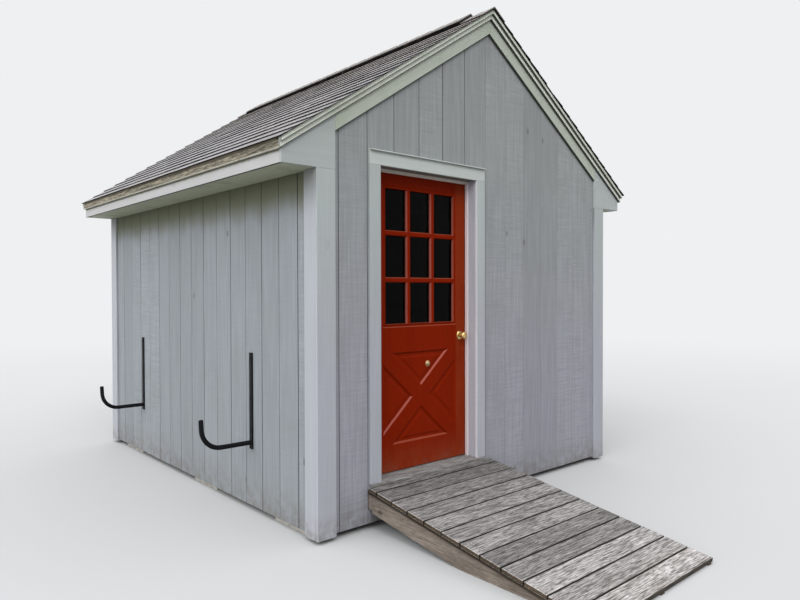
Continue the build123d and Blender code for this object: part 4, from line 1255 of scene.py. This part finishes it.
ramp_angle = math.atan(ramp_fall / ramp_run)
ramp_cos, ramp_sin = math.cos(ramp_angle), math.sin(ramp_angle)
ramp_length = ramp_run / ramp_cos
plank_pitch = plank_width + plank_gap
whole_planks = int(ramp_length / plank_pitch)
plank_starts = [ramp_length - plank_pitch * (whole_planks - i) + plank_gap for i in range(whole_planks)]
planks = [(0.0, plank_starts[0] - plank_gap)] + [(start, start + plank_width) for start in plank_starts]
plank_tones = [0.15, 0.15, 0.3, 0.35, 0.45, 0.4, 0.5, 0.25, 0.3, 0.75, 0.7, 1.0]
plank_cuts = 10
nail_inset = 0.041
nail_depth = 0.0016
nail_lines = [ramp_left + nail_inset, (ramp_left + ramp_right) / 2, ramp_right - nail_inset]


def ramp_point(along, down, x):
    """A point of the ramp by its distance from the sill and its depth under the walked face."""
    y = ramp_back - along * ramp_cos + down * ramp_sin
    return Vector((x, y, ramp_top - along * ramp_sin - down * ramp_cos))


def split(part, place, way, **settings):
    """Cuts all of a part along a plane."""
    bmesh.ops.bisect_plane(part, geom=part.verts[:] + part.edges[:] + part.faces[:], plane_co=place,
                           plane_no=way, **settings)


def ramp_plank(x0, x1, s0, s1):
    """A ramp board between its ends and its edges, a little warped along its length."""
    section = ((s0, 0.0006), (s1, 0.0006), (s1, plank_thickness), (s0, plank_thickness))
    part = sawn([ramp_point(s, d, x0) for s, d in section], (x1 - x0, 0, 0), (0.0028, 2))
    for i in range(1, plank_cuts):
        split(part, (x0 + (x1 - x0) * i / plank_cuts, 0, 0), along_x)
    twist = chance.uniform(0, 50)
    for point in part.verts:
        wave = noise.noise(Vector((point.co.x * 3 + twist, twist, 0)))
        point.co.z -= 0.0009 * (wave + 0.6)
        point.co.y += 0.0008 * noise.noise(Vector((point.co.x * 2, twist, 7)))
    return part


def nail_head(s, x):
    """A nail driven flush with the walked face."""
    place = Matrix.Translation(ramp_point(s, nail_depth, x)) @ Matrix.Rotation(ramp_angle, 4, "X")
    return studded(place, foot=0.0042, head=0.0036, height=0.0022, sides=10)


work = bench()
nails = bench()
for (start, end), tone in zip(planks, plank_tones):
    x0 = ramp_left + chance.uniform(0.0, 0.005)
    x1 = ramp_right - chance.uniform(0.0, 0.005)
    s0, s1 = start + chance.uniform(0.0, 0.001), end - chance.uniform(0.0, 0.001)
    plank = ramp_plank(x0, x1, s0, s1)
    if end == planks[-1][1]:
        split(plank, (0, 0, 0), upright, clear_inner=True)
        bmesh.ops.holes_fill(plank, edges=[edge for edge in plank.edges if edge.is_boundary])
    for x in nail_lines:
        for share in (0.24, 0.78) if end - start > 0.1 else (0.5, 0.5):
            lay(nails, nail_head(start + (end - start) * share, x + chance.uniform(-0.006, 0.006)))
    lay(work, plank, along_x, tone, plank_faces)
piece("ramp_boards", work, [deck_wood, gap_shade_wood, end_wood, lit_edge_wood], "bare_wood", ["ramp_planks"])
piece("ramp_nail_heads", nails, [nail_steel], "steel")

for name, node, along in (("ramp_stringer_joists", "ramp_stringers", along_y),
                          ("ramp_ledger_board", "ramp_ledger", along_x)):
    dressed(name, node, narrow_edge, [stringer_wood], "bare_wood", along)


# Wall rack

bar_half = rack_bar_width / 2
rack_rows = [rack_y0 + bar_half, rack_y1 - bar_half]
bar_face = -siding_x - rack_bar_thickness
bolt_levels = (rack_bar_top - 0.040, (rack_bar_top + arm_level) / 2, arm_level + 0.080)
bend_steps = 14
tip_rounding = ((0.26, 0.93), (0.16, 0.80), (0.08, 0.55))
outwards = Matrix.Rotation(math.pi / 2, 4, "Y")


def padded_arm(work, y):
    """A sleeved rod that runs out from its bar, bends up and ends in a rounded tip."""
    part = bmesh.new()
    place = Matrix.Translation((bar_face, y, arm_level)) @ outwards
    bmesh.ops.create_circle(part, cap_ends=True, segments=24, radius=arm_radius, matrix=place)
    rise = Vector((-tip_lean, 0, tip_level - arm_level))
    turn = math.acos(tip_lean / rise.length)
    cut = arm_bend * math.tan(turn / 2)
    bend_x = -siding_x - arm_reach + cut
    ends = part.faces[:]

    def carry(faces, moved):
        grown = bmesh.ops.extrude_face_region(part, geom=faces)["geom"]
        moved([item for item in grown if isinstance(item, bmesh.types.BMVert)])
        bmesh.ops.delete(part, geom=faces, context="FACES_ONLY")
        return [item for item in grown if isinstance(item, bmesh.types.BMFace)]

    bmesh.ops.duplicate(part, geom=ends)
    run = Vector((bend_x - bar_face, 0, 0))
    ends = carry(ends, lambda points: bmesh.ops.translate(part, verts=points, vec=run))
    pivot = Vector((bend_x, y, arm_level + arm_bend))
    bend = Matrix.Rotation(turn / bend_steps, 3, "Y")
    for _ in range(bend_steps):
        ends = carry(ends, lambda points: bmesh.ops.rotate(part, verts=points, cent=pivot, matrix=bend))
    rest = rise.normalized() * (rise.length - cut - arm_radius * 0.5)
    ends = carry(ends, lambda points: bmesh.ops.translate(part, verts=points, vec=rest))
    for lift, shrink in tip_rounding:
        def narrow(points):
            bmesh.ops.translate(part, verts=points, vec=rise.normalized() * arm_radius * lift)
            middle = sum((point.co for point in points), Vector()) / len(points)
            about = Matrix.Translation(-middle)
            bmesh.ops.scale(part, verts=points, vec=(shrink, shrink, shrink), space=about)
        ends = carry(ends, narrow)
    bmesh.ops.remove_doubles(part, verts=part.verts, dist=1e-6)
    bmesh.ops.recalc_face_normals(part, faces=part.faces)
    lay(work, part)


work = bench()
for y in rack_rows:
    low = (bar_face, y - bar_half, rack_bar_bottom)
    lay(work, squared(low, (-siding_x, y + bar_half, rack_bar_top), (0.0025, 2)))
piece("rack_wall_bars", work, [rack_coat], "rack_steel", ["rack_bars"])

work = bench()
for y in rack_rows:
    for z in bolt_levels:
        place = Matrix.Translation((bar_face - 0.002, y, z)) @ outwards
        lay(work, studded(place, foot=0.0062, head=0.0078, height=0.004, sides=12))
piece("rack_bolt_heads", work, [rack_coat], "rack_steel")

work = bench()
for y in rack_rows:
    padded_arm(work, y)
sleeves = piece("rack_arm_sleeves", work, [rack_foam], "rack_pad", ["rack_arms"], smooth=40)


# Blocks under the skids, with rough sides

work = bench()
blocks = copied("foundation_blocks", 0.003)
long_edges = [edge for edge in blocks.edges if edge.calc_length() > 0.03]
bmesh.ops.subdivide_edges(blocks, edges=long_edges, cuts=3, use_grid_fill=True)
for point in blocks.verts:
    point.co.x -= math.copysign(0.0012, point.co.x) * abs(noise.noise(point.co * 22.0))
lay(work, blocks)
piece("cast_blocks", work, [block_concrete], "concrete", ["foundation_blocks"])


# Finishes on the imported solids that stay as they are

for material, nodes in ((framing_wood, ("front_wall_sides", "front_wall_gable", "back_wall", "side_walls")),
                        (framing_along_x, ("floor_joists", "floor_deck", "rafters")),
                        (framing_along_y, ("floor_skids", "floor_rims", "ridge_board")),
                        (weathered_along_y, ("roof_deck",)),
                        (pane_glass, ("door_glass",))):
    for node in nodes:
        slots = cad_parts[node].data.materials
        slots.clear()
        slots.append(material)


# Stage, lamps and camera

backdrop_colour = (0.86, 0.87, 0.88, 1)
viewpoint_place = (-3.775, -5.148, 1.542)
yaw, pitch, roll = math.radians(41.221), math.radians(-0.827), math.radians(-0.139)


def placed(name, data):
    """An object of the stage, put into the scene."""
    made = bpy.data.objects.new(name, data)
    bpy.context.scene.collection.objects.link(made)
    return made


def seen_ray(tree):
    """1 where the eye, a reflection or a window looks; 0 for the light that falls on surfaces."""
    path = add(tree, "ShaderNodeLightPath").outputs
    mirror = calc(tree, "MAXIMUM", path["Is Glossy Ray"], path["Is Transmission Ray"])
    return calc(tree, "MAXIMUM", path["Is Camera Ray"], mirror)


def fading_floor(name, pale, shade):
    """A plain floor, pale to the eye, that throws back little light and fades into the backdrop."""
    material, tree, shader = finish(name, 0.9, Specular_IOR_Level=0.0)
    seen = seen_ray(tree)
    tree.links.new(mixed(tree, seen, shade, pale), shader.inputs["Base Color"])
    away = add(tree, "ShaderNodeVectorMath", {0: on_shed(tree)}, operation="LENGTH").outputs["Value"]
    glow = add(tree, "ShaderNodeEmission", {"Color": backdrop_colour, "Strength": 1.0})
    fade = times(tree, span(tree, away, 5.0, 18.0), seen)
    mix = add(tree, "ShaderNodeMixShader", {0: fade, 1: shader.outputs[0], 2: glow.outputs[0]})
    tree.links.new(mix.outputs[0], tree.nodes["Material Output"].inputs["Surface"])
    return material


def soft_lamp(name, energy, width, source):
    """Daylight from a wide patch of sky, given by its width in degrees and the way towards it."""
    lamp = bpy.data.lights.new(name, "SUN")
    lamp.energy = energy
    lamp.angle = math.radians(width)
    placed(name, lamp).rotation_euler = Vector(source).to_track_quat("Z", "Y").to_euler()


floor_bm = bmesh.new()
bmesh.ops.create_circle(floor_bm, cap_ends=True, segments=96, radius=60.0)
floor_mesh = bpy.data.meshes.new("plain_floor")
floor_bm.to_mesh(floor_mesh)
floor_bm.free()
floor_mesh.materials.append(fading_floor("pale_floor", (0.46, 0.465, 0.47), (0.24, 0.24, 0.235)))
placed("plain_floor", floor_mesh)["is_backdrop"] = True

world = bpy.data.worlds.new("soft_sky")
world.use_nodes = True
sky = world.node_tree
sky_light = sky.nodes["Background"]
sky_light.inputs["Color"].default_value = (0.97, 0.985, 1.0, 1)
sky_light.inputs["Strength"].default_value = 0.50
backdrop = add(sky, "ShaderNodeBackground", {"Color": backdrop_colour, "Strength": 1.0})
seen_mix = add(sky, "ShaderNodeMixShader",
               {0: seen_ray(sky), 1: sky_light.outputs[0], 2: backdrop.outputs[0]})
sky.links.new(seen_mix.outputs[0], sky.nodes["World Output"].inputs["Surface"])
bpy.context.scene.world = world

soft_lamp("overhead_sky", 2.4, 110, (0, 0, 1))
soft_lamp("front_light", 1.1, 30, (-0.25, -0.70, 0.66))
soft_lamp("left_light", 2.2, 60, (-0.92, -0.12, 0.38))

camera = bpy.data.cameras.new("viewpoint")
camera.sensor_width = 36.0
camera.lens = 29.53
camera.clip_end = 200.0
viewpoint = placed("viewpoint", camera)
heading = Matrix.Rotation(-yaw, 4, "Z") @ Matrix.Rotation(math.pi / 2 + pitch, 4, "X")
turn = heading @ Matrix.Rotation(roll, 4, "Z")
viewpoint.matrix_world = Matrix.Translation(viewpoint_place) @ turn
bpy.context.scene.camera = viewpoint
bpy.context.scene.view_settings.view_transform = "Standard"

low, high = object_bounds()
{"cad": [list(cad_box[0]), list(cad_box[1])], "visual": [list(low), list(high)]}
